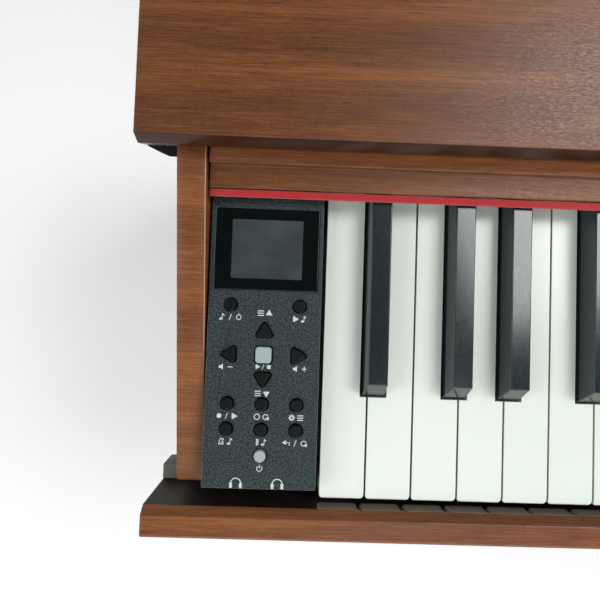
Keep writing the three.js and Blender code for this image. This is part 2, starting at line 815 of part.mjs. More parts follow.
function controlPanel() {
  const side = new THREE.Shape();
  side.moveTo(panelFront, chassisBottom);
  side.lineTo(panelBack, chassisBottom);
  side.lineTo(panelBack, panelTop);
  side.lineTo(panelFront + panelBevel, panelTop);
  side.lineTo(panelFront, panelTop - panelBevel);
  const front = outline([
    [panelLeft, chassisBottom],
    [panelRight, chassisBottom],
    [panelRight, panelTop - panelBevel],
    [panelRight - panelBevel, panelTop],
    [panelLeft + panelBevel, panelTop],
    [panelLeft, panelTop - panelBevel],
  ]);
  const body = alongX(side, panelLeft, panelRight).intersect(alongY(front, panelFront, panelBack));
  const lowLeft = panelLeft + panelWall;
  const lowRight = panelRight - panelWall;
  const lowFront = panelFront + panelWall;
  const lowBack = panelBack - panelWall;
  const upper = block(lowLeft, lowRight, lowFront, lowBack, panelBoardTop - seatGap, panelTop - panelSkin);
  const lowTop = panelBoardTop + seatGap;
  const lower = block(lowLeft, lowRight, lowFront, lowBack, chassisBottom - overrun, lowTop);
  const ledge = [panelLeft + panelWall / 2, lowRight - panelLedge].map((left) =>
    block(left, left + panelLedge + panelWall / 2, lowFront - panelWall / 2, lowBack + panelWall / 2,
      panelBoardTop + seatGap, panelBoardTop + seatGap + panelLedge / 2));
  const holes = buttons.map(({ x, y, shape, steps }) =>
    alongZ(shape(0), panelTop - panelSkin - overrun, panelTop + overrun, steps).translate([x, y, 0]));
  const glassLeft = columnCentre - glassWidth / 2 - glassClearance;
  const glassRight = columnCentre + glassWidth / 2 + glassClearance;
  const recess = block(glassLeft, glassRight, glassBack - glassDepth - glassClearance,
    glassBack + glassClearance, panelTop - glassThickness + glassProud - seatGap, panelTop + overrun);
  const windowMiddle = glassBack - glassDepth / 2;
  const window = block(
    columnCentre - displayWindowWidth / 2, columnCentre + displayWindowWidth / 2,
    windowMiddle - displayWindowDepth / 2, windowMiddle + displayWindowDepth / 2,
    panelTop - panelSkin - overrun, panelTop + overrun,
  );
  return cut(cut(body, upper, lower).add(join(...ledge)), ...holes, recess, window);
}

function screenGlass() {
  const shape = roundedRectangle(
    columnCentre - glassWidth / 2, columnCentre + glassWidth / 2, glassBack - glassDepth, glassBack,
    panelBevel,
  );
  return alongZ(shape, panelTop + glassProud - glassThickness, panelTop + glassProud);
}

function buttonBody({ x, y, shape, steps }) {
  const shoulder = panelTop + buttonProud - buttonCrown;
  const flangeTop = panelTop - panelSkin - seatGap;
  const crownShape = shape(-buttonClearance - buttonCrown / 2);
  const stem = alongZ(shape(-buttonClearance), flangeTop - flangeThickness, shoulder, steps);
  const crown = alongZ(crownShape, shoulder - buttonCrown, shoulder + buttonCrown, steps);
  const flange = alongZ(shape(flangeRim), flangeTop - flangeThickness, flangeTop, steps);
  return join(stem, crown, flange).translate([x, y, 0]);
}

function panelBoard() {
  const left = panelLeft + panelWall + seatGap;
  const right = panelRight - panelWall - seatGap;
  const front = panelFront + panelWall + seatGap;
  const back = panelBack - panelWall - seatGap;
  const sheet = block(left, right, front, back, panelBoardTop - boardSheet, panelBoardTop);
  const switches = buttons.map(({ x, y }) =>
    block(x - switchSize / 2, x + switchSize / 2, y - switchSize / 2, y + switchSize / 2,
      panelBoardTop - boardSheet, switchTop));
  const middle = glassBack - glassDepth / 2;
  const displayTop = panelTop - panelSkin - seatGap;
  const display = block(
    columnCentre - displayWindowWidth / 2 - panelWall, columnCentre + displayWindowWidth / 2 + panelWall,
    middle - displayWindowDepth / 2 - panelWall, middle + displayWindowDepth / 2 + panelWall,
    panelBoardTop - boardSheet, displayTop,
  );
  return join(sheet, display, ...switches);
}

function endBlock() {
  const side = new THREE.Shape();
  side.moveTo(panelFront, chassisBottom);
  side.lineTo(panelBack, chassisBottom);
  side.lineTo(panelBack, panelTop);
  side.lineTo(panelFront + panelBevel, panelTop);
  side.lineTo(panelFront, panelTop - panelBevel);
  const body = alongX(side, blockLeft, blockRight);
  const hollow = block(blockLeft + panelWall, blockRight - panelWall, panelFront + panelWall,
    panelBack - panelWall, chassisBottom - overrun, panelTop - panelSkin);
  return cut(body, hollow);
}

// Inside and back
function speaker(centreX) {
  const bottom = keybedTop + seatGap;
  const neck = bottom + speakerDepth - magnetHeight;
  const top = bottom + speakerDepth;
  const profile = [
    [0, neck - coneWall],
    [magnetRadius / 2, neck - coneWall],
    [speakerConeRadius - coneWall, bottom],
    [speakerRadius, bottom],
    [speakerRadius, bottom + speakerFlange],
    [speakerConeRadius, bottom + speakerFlange],
    [magnetRadius * coneNeckShare, neck],
    [magnetRadius, neck],
    [magnetRadius, top],
    [0, top],
  ].map(([radius, height]) => new THREE.Vector2(radius, height));
  const turned = new THREE.LatheGeometry(profile, roundSteps).rotateX(Math.PI / 2);
  return solid(turned).translate([centreX, speakerCentre, 0]);
}

function mainBoard() {
  const left = leftArmInner + mainBoardInset;
  const right = left + mainBoardWidth;
  const back = backInner - inletRim - socketDepth;
  const front = back - mainBoardDepth;
  const bottom = keybedTop + seatGap + mainBoardLift;
  const top = bottom + boardSheet;
  const sheet = block(left, right, front, back, bottom, top);
  const inset = standoffRadius * 2;
  const columns = [left + inset, right - inset];
  const corners = columns.flatMap((x) => [front + inset, back - inset].map((y) => [x, y]));
  const standoffs = corners.map(([x, y]) => rodZ(standoffRadius, x, y, keybedTop + seatGap, top));
  const sinkLeft = left + heatsinkInset;
  const sinkFront = front + heatsinkInset;
  const sinkBack = sinkFront + heatsinkDepth;
  const fins = [];
  for (let x = sinkLeft; x < sinkLeft + heatsinkWidth; x += finPitch) {
    fins.push(block(x, x + finThickness, sinkFront, sinkBack, bottom, top + heatsinkHeight));
  }
  const plate = block(sinkLeft, sinkLeft + heatsinkWidth, sinkFront, sinkBack, bottom, top + finPitch);
  const cans = [1, 2, 3].map((place) =>
    rodZ(capacitorRadius, right - place * capacitorPitch, sinkFront + capacitorRadius, bottom,
      top + capacitorHeight));
  return join(sheet, plate, ...fins, ...standoffs, ...cans);
}

function inletPlateBody() {
  const left = leftArmInner + inletInset + seatGap;
  const right = left + inletWidth - seatGap * 2;
  const bottom = keybedTop + inletRim + seatGap;
  const top = bottom + inletHeight - seatGap * 2;
  const middle = (bottom + top) / 2;
  const span = right - left;
  const back = backPlane;
  const plate = block(left, right, back - inletPlate, back, bottom, top);
  const pocketFront = back - socketDepth;
  const housing = block(left + inletRim, right - inletRim, pocketFront - inletPlate, back,
    bottom + inletRim, top - inletRim);
  const powerX = left + span / 5;
  const dataX = left + span / 2;
  const pedalX = right - span / 5;
  const power = rodY(powerSocketRadius, powerX, pocketFront, back + overrun, middle);
  const pin = rodY(powerPinRadius, powerX, pocketFront - inletPlate / 2, back - inletPlate, middle);
  const data = block(dataX - dataSocketWidth / 2, dataX + dataSocketWidth / 2, pocketFront, back + overrun,
    middle - dataSocketHeight / 2, middle + dataSocketHeight / 2);
  const pedals = block(pedalX - pedalSocketWidth / 2, pedalX + pedalSocketWidth / 2, pocketFront,
    back + overrun, middle - pedalSocketHeight / 2, middle + pedalSocketHeight / 2);
  return cut(join(plate, housing), power, data, pedals).add(pin);
}

const headphoneMiddle = panelLeft + panelWidth / 2;

function headphoneBox() {
  const left = headphoneMiddle - headphoneWidth / 2;
  const right = headphoneMiddle + headphoneWidth / 2;
  const top = standTop;
  const bottom = top - headphoneHeight;
  const front = headphoneFront;
  const plan = roundedRectangle(left, right, bottom, top, railRound);
  const body = alongY(plan, front, front + headphoneDepth);
  const middle = (top + bottom) / 2;
  const jacks = [-1, 1].map((side) => headphoneMiddle + (side * jackPitch) / 2);
  const ringFront = front - jackRingProud;
  const rings = jacks.map((x) => rodY(jackRingRadius, x, ringFront, front + jackRingProud, middle));
  const bores = jacks.map((x) => rodY(jackRadius, x, front - overrun, front + jackDepth, middle));
  return cut(join(body, ...rings), ...bores);
}

add("left_side_panel", sidePanel(leftArmInner, leftArmInner - armThickness), "walnut");
add("right_side_panel", sidePanel(rightArmInner, rightArmInner + armThickness), "walnut");
add("left_foot", foot(leftArmInner, -1), "walnut");
add("right_foot", foot(rightArmInner, 1), "walnut");
add("kick_panel", kickPanel(), "walnut");
add("pedal_beam", pedalBeam(), "walnut");
["soft_pedal", "sostenuto_pedal", "sustain_pedal"].forEach((name, place) => {
  add(name, pedal(pedalCentres[place]), "brass");
});
add("keybed", keybed(), "darkBoard");
add("front_rail", frontRail(), "walnut");
add("left_arm", arm(leftArmInner, leftArmInner - armThickness), "walnut");
add("right_arm", arm(rightArmInner, rightArmInner + armThickness), "walnut");
add("top_board", topBoard(), "walnut");
add("nameboard", nameboard(), "walnutDark");
add("felt_strip", feltStrip(), "felt");
add("back_panel", backPanel(), "hardboard");
add("inlet_plate", inletPlateBody(), "blackPlastic");
add("music_rest", musicRest(), "walnut");
add("rest_hinge", restHinge(), "steel");
add("control_panel", controlPanel(), "panel");
add("screen_glass", screenGlass(), "glass");
buttons.forEach((button) => add(button.name, buttonBody(button), button.finish));
add("panel_board", panelBoard(), "circuit");
add("right_end_block", endBlock(), "panel");
add("key_chassis", keyChassis(), "steel");
add("left_speaker", speaker(speakerCentres[0]), "cone");
add("right_speaker", speaker(speakerCentres[1]), "cone");
add("main_board", mainBoard(), "circuit");
add("headphone_box", headphoneBox(), "blackPlastic");
addKeys();

export default piano;
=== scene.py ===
"""Digital piano of 88 keys: the visible pieces, finishes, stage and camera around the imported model."""

import json
import math

import bmesh
import bpy
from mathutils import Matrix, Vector

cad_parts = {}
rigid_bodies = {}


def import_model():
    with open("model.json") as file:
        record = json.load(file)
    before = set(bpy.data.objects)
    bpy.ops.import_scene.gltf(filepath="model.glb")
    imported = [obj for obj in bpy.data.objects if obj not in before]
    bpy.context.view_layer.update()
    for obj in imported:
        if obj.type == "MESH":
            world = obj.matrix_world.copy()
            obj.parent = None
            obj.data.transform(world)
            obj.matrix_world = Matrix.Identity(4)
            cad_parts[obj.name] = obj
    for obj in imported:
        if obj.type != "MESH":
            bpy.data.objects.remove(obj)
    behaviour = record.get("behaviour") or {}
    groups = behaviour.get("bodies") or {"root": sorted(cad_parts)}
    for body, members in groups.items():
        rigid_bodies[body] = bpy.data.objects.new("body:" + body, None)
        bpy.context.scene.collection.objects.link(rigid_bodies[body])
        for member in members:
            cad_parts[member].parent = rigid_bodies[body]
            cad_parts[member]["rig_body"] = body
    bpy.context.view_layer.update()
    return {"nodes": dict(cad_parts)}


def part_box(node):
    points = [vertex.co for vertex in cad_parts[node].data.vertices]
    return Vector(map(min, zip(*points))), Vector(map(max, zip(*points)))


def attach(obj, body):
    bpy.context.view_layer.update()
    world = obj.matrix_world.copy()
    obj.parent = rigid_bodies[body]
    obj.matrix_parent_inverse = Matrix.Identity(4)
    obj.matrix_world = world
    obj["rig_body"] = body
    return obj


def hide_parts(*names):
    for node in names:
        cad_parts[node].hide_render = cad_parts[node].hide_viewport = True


bl_info = {
    "name": "Digital Piano",
    "version": (1, 0, 0),
    "blender": (4, 5, 0),
    "location": "3D View > Sidebar > Piano",
    "description": "Builds the pieces and finishes of a digital piano in a wooden console",
    "category": "Object",
}

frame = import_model()
NODES = frame["nodes"]
MM = 0.001
X_AXIS = Vector((1, 0, 0))
Y_AXIS = Vector((0, 1, 0))
# The least share of a face's normal along an axis, where the face looks that way or slopes to it
FACING = 0.9
SLOPING = 0.3
# Points nearer than this are one point
SAME_POINT = 0.002 * MM
# Faces that meet at less than this are one face
FLAT_ANGLE = math.radians(0.5)

WHITE_COUNT = 52
LETTERS = "CDEFGAB"
FIRST_LETTER = LETTERS.index("A")
BLACK_SHIFT_SHARES = {"C": -0.1, "D": 0.1, "F": -0.13, "G": 0.0, "A": 0.13}
KEY_GAP = 1.0 * MM
OCTAVES = range(1, 8)


def low(node):
    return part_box(node)[0]


def high(node):
    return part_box(node)[1]


def middle(node):
    return (low(node) + high(node)) / 2


OCTAVE_WIDTH = high("white_keys_2").x - low("white_keys_2").x + KEY_GAP
KEY_PITCH = OCTAVE_WIDTH / len(LETTERS)
KEYS_LEFT = low("A0").x - KEY_GAP / 2
KEYS_FRONT = low("A0").y
KEYS_BACK = high("A0").y
WHITE_TOP = high("A0").z
KEYBOARD = (KEYS_LEFT, KEYS_LEFT + WHITE_COUNT * KEY_PITCH)
PANEL_TOP = high("control_panel").z
OUTSIDE_ARMS = (low("left_arm").x, high("right_arm").x)
# Edges of the pale line painted as a highlight along each arm's inner top edge, as distances from the middle
# plane
ARM_HIGHLIGHT_BAND = (0.1 * MM - high("left_arm").x, 0.6 * MM - high("left_arm").x)


# Sizes and colours that a user may change


def length(label, note, value):
    return bpy.props.FloatProperty(name=label, description=note, default=value, unit="LENGTH", precision=5)


def colour(label, note, value):
    return bpy.props.FloatVectorProperty(
        name=label, description=note, default=value, subtype="COLOR", size=3, min=0.0, max=1.0
    )


class PianoSizes(bpy.types.PropertyGroup):
    key_roll: length("Key roll", "How far the front of a white key's top rolls over", 6.0 * MM)
    key_drop: length("Key drop", "How low the roll ends at the front", 2.4 * MM)
    key_corner: length("Key corner", "Corner radius at the front of a white key", 2.5 * MM)
    key_edge: length("Key edge", "Radius along the top edges of a white key", 0.4 * MM)
    key_body: length("Key body", "Depth of a white key behind its lip", 14.0 * MM)
    key_lip: length("Key lip", "Depth of a white key's front lip", 20.0 * MM)
    key_wall: length("Key wall", "Thickness of a key's walls and front lip", 2.5 * MM)
    key_skin: length("Key skin", "Thickness of a key above its hollow", 3.0 * MM)
    key_head: length("Key head", "Length of a white key in front of the black ones", 52.0 * MM)
    notch: length("Notch", "Room between a black key and the white ones", 1.0 * MM)
    black_base: length("Black base", "Width of a black key at the white keys' top", 11.8 * MM)
    black_top: length("Black top", "Width of a black key at its top", 9.8 * MM)
    black_slope: length("Black slope", "How far a black key's front leans back", 6.8 * MM)
    black_edge: length("Black edge", "Radius along the edges of a black key", 0.6 * MM)
    board_edge: length("Board edge", "Radius along the edges of the wooden boards", 0.7 * MM)
    panel_edge: length("Panel edge", "Radius along the edges of the control panel", 0.45 * MM)
    panel_skin: length("Panel skin", "Thickness of the control panel's face", 2.5 * MM)
    print_height: length("Print height", "How far a printed mark stands off the panel", 0.03 * MM)
    felt_fuzz: length("Felt fuzz", "How far the felt's surface wanders", 0.16 * MM)
    screw_radius: length("Screw radius", "Radius of a screw's head", 3.6 * MM)


class PianoColours(bpy.types.PropertyGroup):
    wood_light: colour("Light wood", "Walnut between the dark bands", (0.194, 0.068, 0.0195))
    wood_dark: colour("Dark wood", "Walnut in the dark bands", (0.094, 0.030, 0.009))
    lacquer: colour("Lacquer", "Polished inner face of the front rail", (0.92, 0.78, 0.70))
    wood_pore: colour("Wood pores", "Pores and fine streaks in the walnut", (0.036, 0.010, 0.003))
    # A painted highlight: the pale line along an arm's inner top edge
    wood_edge_highlight: colour("Wood edge highlight", "Pale line painted as a highlight along an arm's inner top edge", (0.38, 0.20, 0.125))
    ivory: colour("Ivory", "White key plastic", (0.665, 0.715, 0.655))
    # Darker, warmer ivory for the keys' sides: painted shade between two keys
    ivory_shaded_side: colour("Ivory shaded sides", "White key plastic between two keys", (0.48, 0.47, 0.365))
    ebony: colour("Ebony", "Black key plastic", (0.010, 0.017, 0.019))
    felt: colour("Felt", "Strip behind the keys", (0.38, 0.019, 0.023))
    panel: colour("Panel", "Control panel plastic", (0.020, 0.029, 0.030))
    button: colour("Button", "Black button rubber", (0.001, 0.003, 0.003))
    grey_button: colour("Grey button", "Power and start buttons", (0.29, 0.36, 0.35))
    marks: colour("Marks", "Printed marks", (0.50, 0.55, 0.55))
    glass: colour("Glass", "Black border of the screen", (0.001, 0.003, 0.003))
    display: colour("Display", "Unlit display", (0.036, 0.047, 0.048))
    # Keybed tones: near black is painted shade between the arms, and the lighter tone is painted light on the
    # ends past the arms
    dark_board: colour("Shaded keybed", "Keybed", (0.020, 0.017, 0.016))
    lit_board: colour("Lit board ends", "Ends of the keybed that reach past the arms", (0.150, 0.160, 0.130))
    brass: colour("Brass", "Pedals", (0.70, 0.50, 0.22))


def sizes():
    return bpy.context.scene.piano_sizes


def colours():
    return bpy.context.scene.piano_colours


# Finishes


def fill(node, **values):
    """Sets a node's inputs; an underscore in a name stands for a space."""
    for socket, value in values.items():
        node.inputs[socket.replace("_", " ")].default_value = value


class Finish:
    """A material whose nodes are added one by one."""

    def __init__(self, name, base, roughness, metallic=0.0, specular=0.5, **more):
        self.base = base
        self.material = bpy.data.materials.new(name)
        self.material.use_nodes = True
        self.material.diffuse_color = (*base, 1.0)
        self.nodes = self.material.node_tree.nodes
        self.links = self.material.node_tree.links
        self.surface = self.nodes["Principled BSDF"]
        fill(self.surface, Base_Color=(*base, 1.0), Roughness=roughness, Metallic=metallic)
        fill(self.surface, Specular_IOR_Level=specular, **more)
        self.place = self.nodes.new("ShaderNodeTexCoord").outputs["Object"]

    def added(self, kind, source, socket=0, operation=None, **values):
        """The first output of a new node that takes a source and plain values."""
        node = self.nodes.new(kind)
        if operation:
            node.operation = operation
        fill(node, **values)
        self.links.new(source, node.inputs[socket])
        return node.outputs[0]

    def placed(self, stretch, turn):
        """The model's coordinates, drawn out along the axes where stretch is under 1."""
        if not stretch:
            return self.place
        return self.added("ShaderNodeMapping", self.place, Scale=stretch, Rotation=turn)

    def noise(self, scale, detail=3.0, roughness=0.5, distortion=0.0, stretch=None, turn=(0.0, 0.0, 0.0)):
        look = {"Scale": scale, "Detail": detail, "Roughness": roughness, "Distortion": distortion}
        return self.added("ShaderNodeTexNoise", self.placed(stretch, turn), **look)

    def cells(self, scale, stretch=None):
        return self.added("ShaderNodeTexVoronoi", self.placed(stretch, (0.0, 0.0, 0.0)), Scale=scale)

    def band(self, start, end):
        """1 where the distance from the model's middle plane lies between two lengths, and 0 elsewhere."""
        x = self.added("ShaderNodeSeparateXYZ", self.place)
        reach = self.added("ShaderNodeMath", x, operation="ABSOLUTE")
        inside = self.added("ShaderNodeMath", reach, operation="COMPARE")
        _, centre, half = inside.node.inputs
        centre.default_value = (start + end) / 2
        half.default_value = (end - start) / 2
        return inside

    def graded(self, value, start, end, first=0.0, last=1.0):
        limits = {"From Min": start, "From Max": end, "To Min": first, "To Max": last}
        return self.added("ShaderNodeMapRange", value, **limits)

    def mixed(self, share, first, second):
        """Each tone is a socket, a colour, or a share of the finish's own colour."""
        mix = self.nodes.new("ShaderNodeMix")
        mix.data_type = "RGBA"
        factor, *tones = [socket for socket in mix.inputs if socket.enabled]
        self.links.new(share, factor)
        for socket, tone in zip(tones, (first, second)):
            if isinstance(tone, bpy.types.NodeSocket):
                self.links.new(tone, socket)
            else:
                tone = tinted(self.base, tone) if isinstance(tone, float) else tone
                socket.default_value = (*tone, 1.0)
        return next(socket for socket in mix.outputs if socket.enabled)

    def paint(self, share, first, second):
        self.links.new(self.mixed(share, first, second), self.surface.inputs["Base Color"])

    def gloss(self, value, smooth, rough, start=0.3, end=0.7):
        """Roughness that goes from smooth to rough as a pattern goes from start to end."""
        self.links.new(self.graded(value, start, end, smooth, rough), self.surface.inputs["Roughness"])

    def bump(self, height, strength, distance):
        normal = self.added("ShaderNodeBump", height, "Height", Strength=strength, Distance=distance)
        self.links.new(normal, self.surface.inputs["Normal"])


def tinted(tone, share):
    return tuple(min(1.0, part * share) for part in tone)


def walnut(name, along, share=1.0, highlight_band=None):
    """Walnut foil whose grain runs along the axes that are 1 in along; a share other than 1 paints the whole
    foil lighter or darker to stand in for light or shade, and the last argument gives the two edges of a pale
    line painted as a highlight.
    """
    palette = colours()
    tones = (palette.wood_light, palette.wood_dark, palette.wood_pore)
    light, dark, pore = (tinted(tone, share) for tone in tones)
    roughness = 0.38
    finish = Finish(name, light, roughness, specular=0.36)

    def drawn_out(part):
        return tuple(part if axis else 1.0 for axis in along)

    slope = (0.0, 0.0, 0.02)
    bands = finish.noise(30.0, 3.0, 0.55, 0.9, drawn_out(0.05), slope)
    streaks = finish.noise(300.0, 8.0, 0.85, 0.25, drawn_out(0.03), slope)
    pores = finish.noise(1400.0, 4.0, 0.8, stretch=drawn_out(0.035))
    tone = finish.mixed(finish.graded(bands, 0.36, 0.62), dark, light)
    tone = finish.mixed(finish.graded(streaks, 0.60, 0.40, 0.0, 0.8), tone, dark)
    tone = finish.mixed(finish.graded(pores, 0.52, 0.34, 0.0, 0.6), tone, pore)
    # Pale flecks along the pores: glints painted into the base colour
    painted_glints = finish.graded(pores, 0.54, 0.70, 0.0, 0.35)
    # The pale line along the arm's inner top edge is a painted highlight
    if highlight_band:
        tone = finish.mixed(painted_glints, tone, 1.45)
        finish.paint(finish.band(*highlight_band), tone, palette.wood_edge_highlight)
    else:
        finish.paint(painted_glints, tone, 1.45)
    relief = finish.noise(1700.0, 3.0, 0.8, stretch=drawn_out(0.2))
    finish.gloss(relief, roughness - 0.14, roughness + 0.16, 0.36, 0.64)
    finish.bump(relief, 0.6, 0.15 * MM)
    return finish.material


def shaded_glossy_edge(name):
    """Edge band that is smoother than the foil and mirrors the keys beside it; its base is painted darker
    than the foil as the shade on the board's front face.
    """
    finish = Finish(name, tinted(colours().wood_dark, 0.5), 0.22, specular=0.22)
    finish.paint(finish.noise(500.0, 3.0, 0.6, stretch=(0.03, 1.0, 1.0)), 0.5, 1.0)
    return finish.material


def polished_foil(name):
    """Foil under a clear lacquer, in which the fronts of the keys show."""
    finish = Finish(name, colours().lacquer, 0.08, metallic=1.0, Coat_Weight=1.0, Coat_Roughness=0.06)
    finish.paint(finish.noise(300.0, 4.0, stretch=(0.03, 1.0, 1.0)), 0.7, 1.0)
    return finish.material


def ivory(name, base):
    finish = Finish(name, base, 0.24, specular=0.3, Subsurface_Weight=0.04, Subsurface_Scale=1.5 * MM)
    finish.paint(finish.noise(30.0, 2.0), 0.985, 1.0)
    finish.bump(finish.noise(1500.0, 2.0), 0.04, 0.05 * MM)
    return finish.material


def ebony(name):
    finish = Finish(name, colours().ebony, 0.18)
    grain = finish.noise(2200.0, 2.0, stretch=(1.0, 0.25, 1.0))
    finish.paint(grain, 0.75, 1.25)
    finish.gloss(grain, 0.15, 0.22)
    finish.bump(grain, 0.03, 0.02 * MM)
    return finish.material


def felt(name):
    finish = Finish(name, colours().felt, 0.95, specular=0.2, Sheen_Weight=0.35, Sheen_Roughness=0.5)
    fibres = finish.noise(1800.0, 4.0, 0.7)
    finish.paint(finish.graded(fibres, 0.3, 0.7), 0.6, 1.35)
    finish.bump(fibres, 0.8, 0.4 * MM)
    return finish.material


def panel_plastic(name):
    """Dark plastic with a fine sparkling grain."""
    finish = Finish(name, colours().panel, 0.5, specular=0.25)
    grain = finish.noise(1300.0, 3.0, 0.75)
    tone = finish.mixed(finish.graded(grain, 0.40, 0.62), 0.1, 2.2)
    finish.paint(finish.graded(finish.cells(1100.0), 0.24, 0.06, 0.0, 0.9), tone, 6.0)
    finish.gloss(grain, 0.40, 0.62)
    finish.bump(grain, 0.8, 0.2 * MM)
    return finish.material


def moulded(name, base, roughness, scale=1600.0, relief=0.15, specular=0.5):
    """Plain moulded or pressed material with a fine grain."""
    finish = Finish(name, base, roughness, specular=specular)
    grain = finish.noise(scale, 2.0)
    finish.paint(grain, 0.9, 1.1)
    finish.gloss(grain, roughness - 0.04, roughness + 0.05)
    finish.bump(grain, relief, 0.06 * MM)
    return finish.material


def screen_glass(name):
    finish = Finish(name, colours().glass, 0.08, Coat_Weight=0.2, Coat_Roughness=0.05)
    finish.gloss(finish.noise(60.0), 0.06, 0.12)
    return finish.material


def unlit_display(name):
    finish = Finish(name, colours().display, 0.3, Coat_Weight=0.5, Coat_Roughness=0.08)
    cloud = finish.noise(45.0, 2.0, stretch=(1.0, 1.6, 1.0))
    tone = finish.mixed(finish.graded(cloud, 0.35, 0.7), 0.75, 1.3)
    finish.paint(finish.graded(finish.cells(2600.0), 0.1, 0.4, 0.0, 0.25), tone, 0.6)
    return finish.material


def circuit(name):
    finish = Finish(name, (0.016, 0.105, 0.048), 0.4)
    tracks = finish.cells(260.0, (1.0, 0.3, 1.0))
    finish.paint(finish.graded(tracks, 0.2, 0.24), 1.9, 1.0)
    return finish.material


def brushed(name, base, roughness):
    finish = Finish(name, base, roughness, metallic=1.0)
    lines = finish.noise(900.0, 2.0, stretch=(1.0, 0.04, 1.0))
    finish.paint(lines, 0.92, 1.0)
    finish.gloss(lines, roughness - 0.06, roughness + 0.1)
    finish.bump(lines, 0.1, 0.03 * MM)
    return finish.material


def pressed_fibre(name, dark, light, scale, detail, relief):
    finish = Finish(name, light, 0.8)
    fibres = finish.noise(scale, detail, 0.7)
    finish.paint(fibres, dark, light)
    finish.bump(fibres, relief, 0.3 * MM)
    return finish.material


def floor_finish(name):
    finish = Finish(name, (0.99, 0.99, 0.99), 0.8)
    finish.paint(finish.noise(3.0), (0.97, 0.97, 0.97), 1.0)
    return finish.material


CONE_TONES = ((0.008, 0.008, 0.008), (0.024, 0.023, 0.022))
HARDBOARD_TONES = ((0.024, 0.014, 0.010), (0.055, 0.035, 0.024))
RUBBER_TONE = (0.003, 0.003, 0.003)
BLACK_PLASTIC_TONE = (0.012, 0.013, 0.014)
STEEL_TONE = (0.50, 0.50, 0.51)

# Each finish has the record's slot that it shows and the function that makes it
FINISHES = {
    # One walnut foil in several shares: the side panels, arms, rail top, rail chamfer and nameboard's upper
    # tread are painted lighter than the top board as the light that falls on them, and the chamfer darker
    # than the rail's top as shade where it tilts back
    "walnut along x": ("walnut", lambda name: walnut(name, (1, 0, 0))),
    "walnut along y": ("walnut", lambda name: walnut(name, (0, 1, 0))),
    "walnut upright": ("walnut", lambda name: walnut(name, (1, 0, 1), 1.25)),
    "walnut arm": ("walnut", lambda name: walnut(name, (1, 0, 1), 1.45, ARM_HIGHLIGHT_BAND)),
    "walnut rail": ("walnut", lambda name: walnut(name, (1, 0, 0), 1.62)),
    "walnut chamfer": ("walnut", lambda name: walnut(name, (1, 0, 0), 1.2)),
    "walnut edge": ("walnut", shaded_glossy_edge),
    # Near black foil: painted shade on the rail's inner face in the recess beside the keys
    "dark foil": ("walnut", lambda name: moulded(name, tinted(colours().wood_dark, 0.1), 0.6, 900.0)),
    "polished foil": ("walnut", polished_foil),
    "ivory": ("ivory", lambda name: ivory(name, colours().ivory)),
    "ivory side": ("ivory", lambda name: ivory(name, colours().ivory_shaded_side)),
    "ebony": ("ebony", ebony),
    "felt": ("felt", felt),
    "panel": ("panel", panel_plastic),
    # Lighter panel plastic for sloped edges: a painted highlight along the panel's edges
    "panel edge": ("panel", lambda name: moulded(name, tinted(colours().panel, 3.4), 0.35)),
    "button": ("button", lambda name: moulded(name, colours().button, 0.45, relief=0.1, specular=0.2)),
    "grey button": ("grey_button", lambda name: moulded(name, colours().grey_button, 0.45)),
    "marks": ("panel", lambda name: moulded(name, colours().marks, 0.5)),
    "glass": ("glass", screen_glass),
    "display": ("glass", unlit_display),
    # Near black keybed between the arms is painted shade; its ends past the arms are painted lighter, as
    # light
    "dark board": ("dark_board", lambda name: moulded(name, colours().dark_board, 0.75, 500.0, 0.4)),
    "primed board": ("dark_board", lambda name: moulded(name, colours().lit_board, 0.7, 700.0, 0.3)),
    "rubber": ("black_plastic", lambda name: moulded(name, RUBBER_TONE, 0.95, relief=0.6, specular=0.1)),
    "black plastic": ("black_plastic", lambda name: moulded(name, BLACK_PLASTIC_TONE, 0.5, relief=0.3)),
    "circuit": ("circuit", circuit),
    "steel": ("steel", lambda name: brushed(name, STEEL_TONE, 0.34)),
    "brass": ("brass", lambda name: brushed(name, colours().brass, 0.24)),
    "cone": ("cone", lambda name: pressed_fibre(name, *CONE_TONES, 700.0, 4.0, 0.4)),
    "hardboard": ("hardboard", lambda name: pressed_fibre(name, *HARDBOARD_TONES, 380.0, 5.0, 0.3)),
    "floor": (None, floor_finish),
}
MADE = {}


def finish(name):
    if name not in MADE:
        MADE[name] = FINISHES[name][1](name)
    return MADE[name]


# Making pieces


def body_of(node):
    return NODES[node]["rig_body"]


def added_object(name, data):
    """Adds a mesh, curve, lamp or lens to the scene."""
    made = bpy.data.objects.new(name, data)
    bpy.context.scene.collection.objects.link(made)
    return made


def linked(name, mesh, *finishes):
    """Adds a piece to the scene in one or more finishes."""
    piece = added_object(name, mesh)
    mesh.materials.clear()
    for entry in finishes:
        mesh.materials.append(finish(entry))
    slot = FINISHES[finishes[0]][0]
    return piece if slot else piece


def stands_for(piece, node):
    """The piece takes the place of a node and moves with its body."""
    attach(piece, body_of(node))
    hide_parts(node)
    return piece


def recoated(node, name):
    """Gives a node that stays as it is another finish."""
    mesh = NODES[node].data
    mesh.materials.clear()
    mesh.materials.append(finish(name))


def edit_of(*meshes):
    """The meshes together, open for editing."""
    edit = bmesh.new()
    for mesh in meshes:
        edit.from_mesh(mesh)
    return edit


def written(edit, mesh):
    """Ends the editing and gives the result to a mesh."""
    edit.to_mesh(mesh)
    edit.free()
    return mesh


def mesh_of(name, edit):
    bmesh.ops.recalc_face_normals(edit, faces=edit.faces)
    return written(edit, bpy.data.meshes.new(name))


def joined(name, *meshes):
    return written(edit_of(*meshes), bpy.data.meshes.new(name))


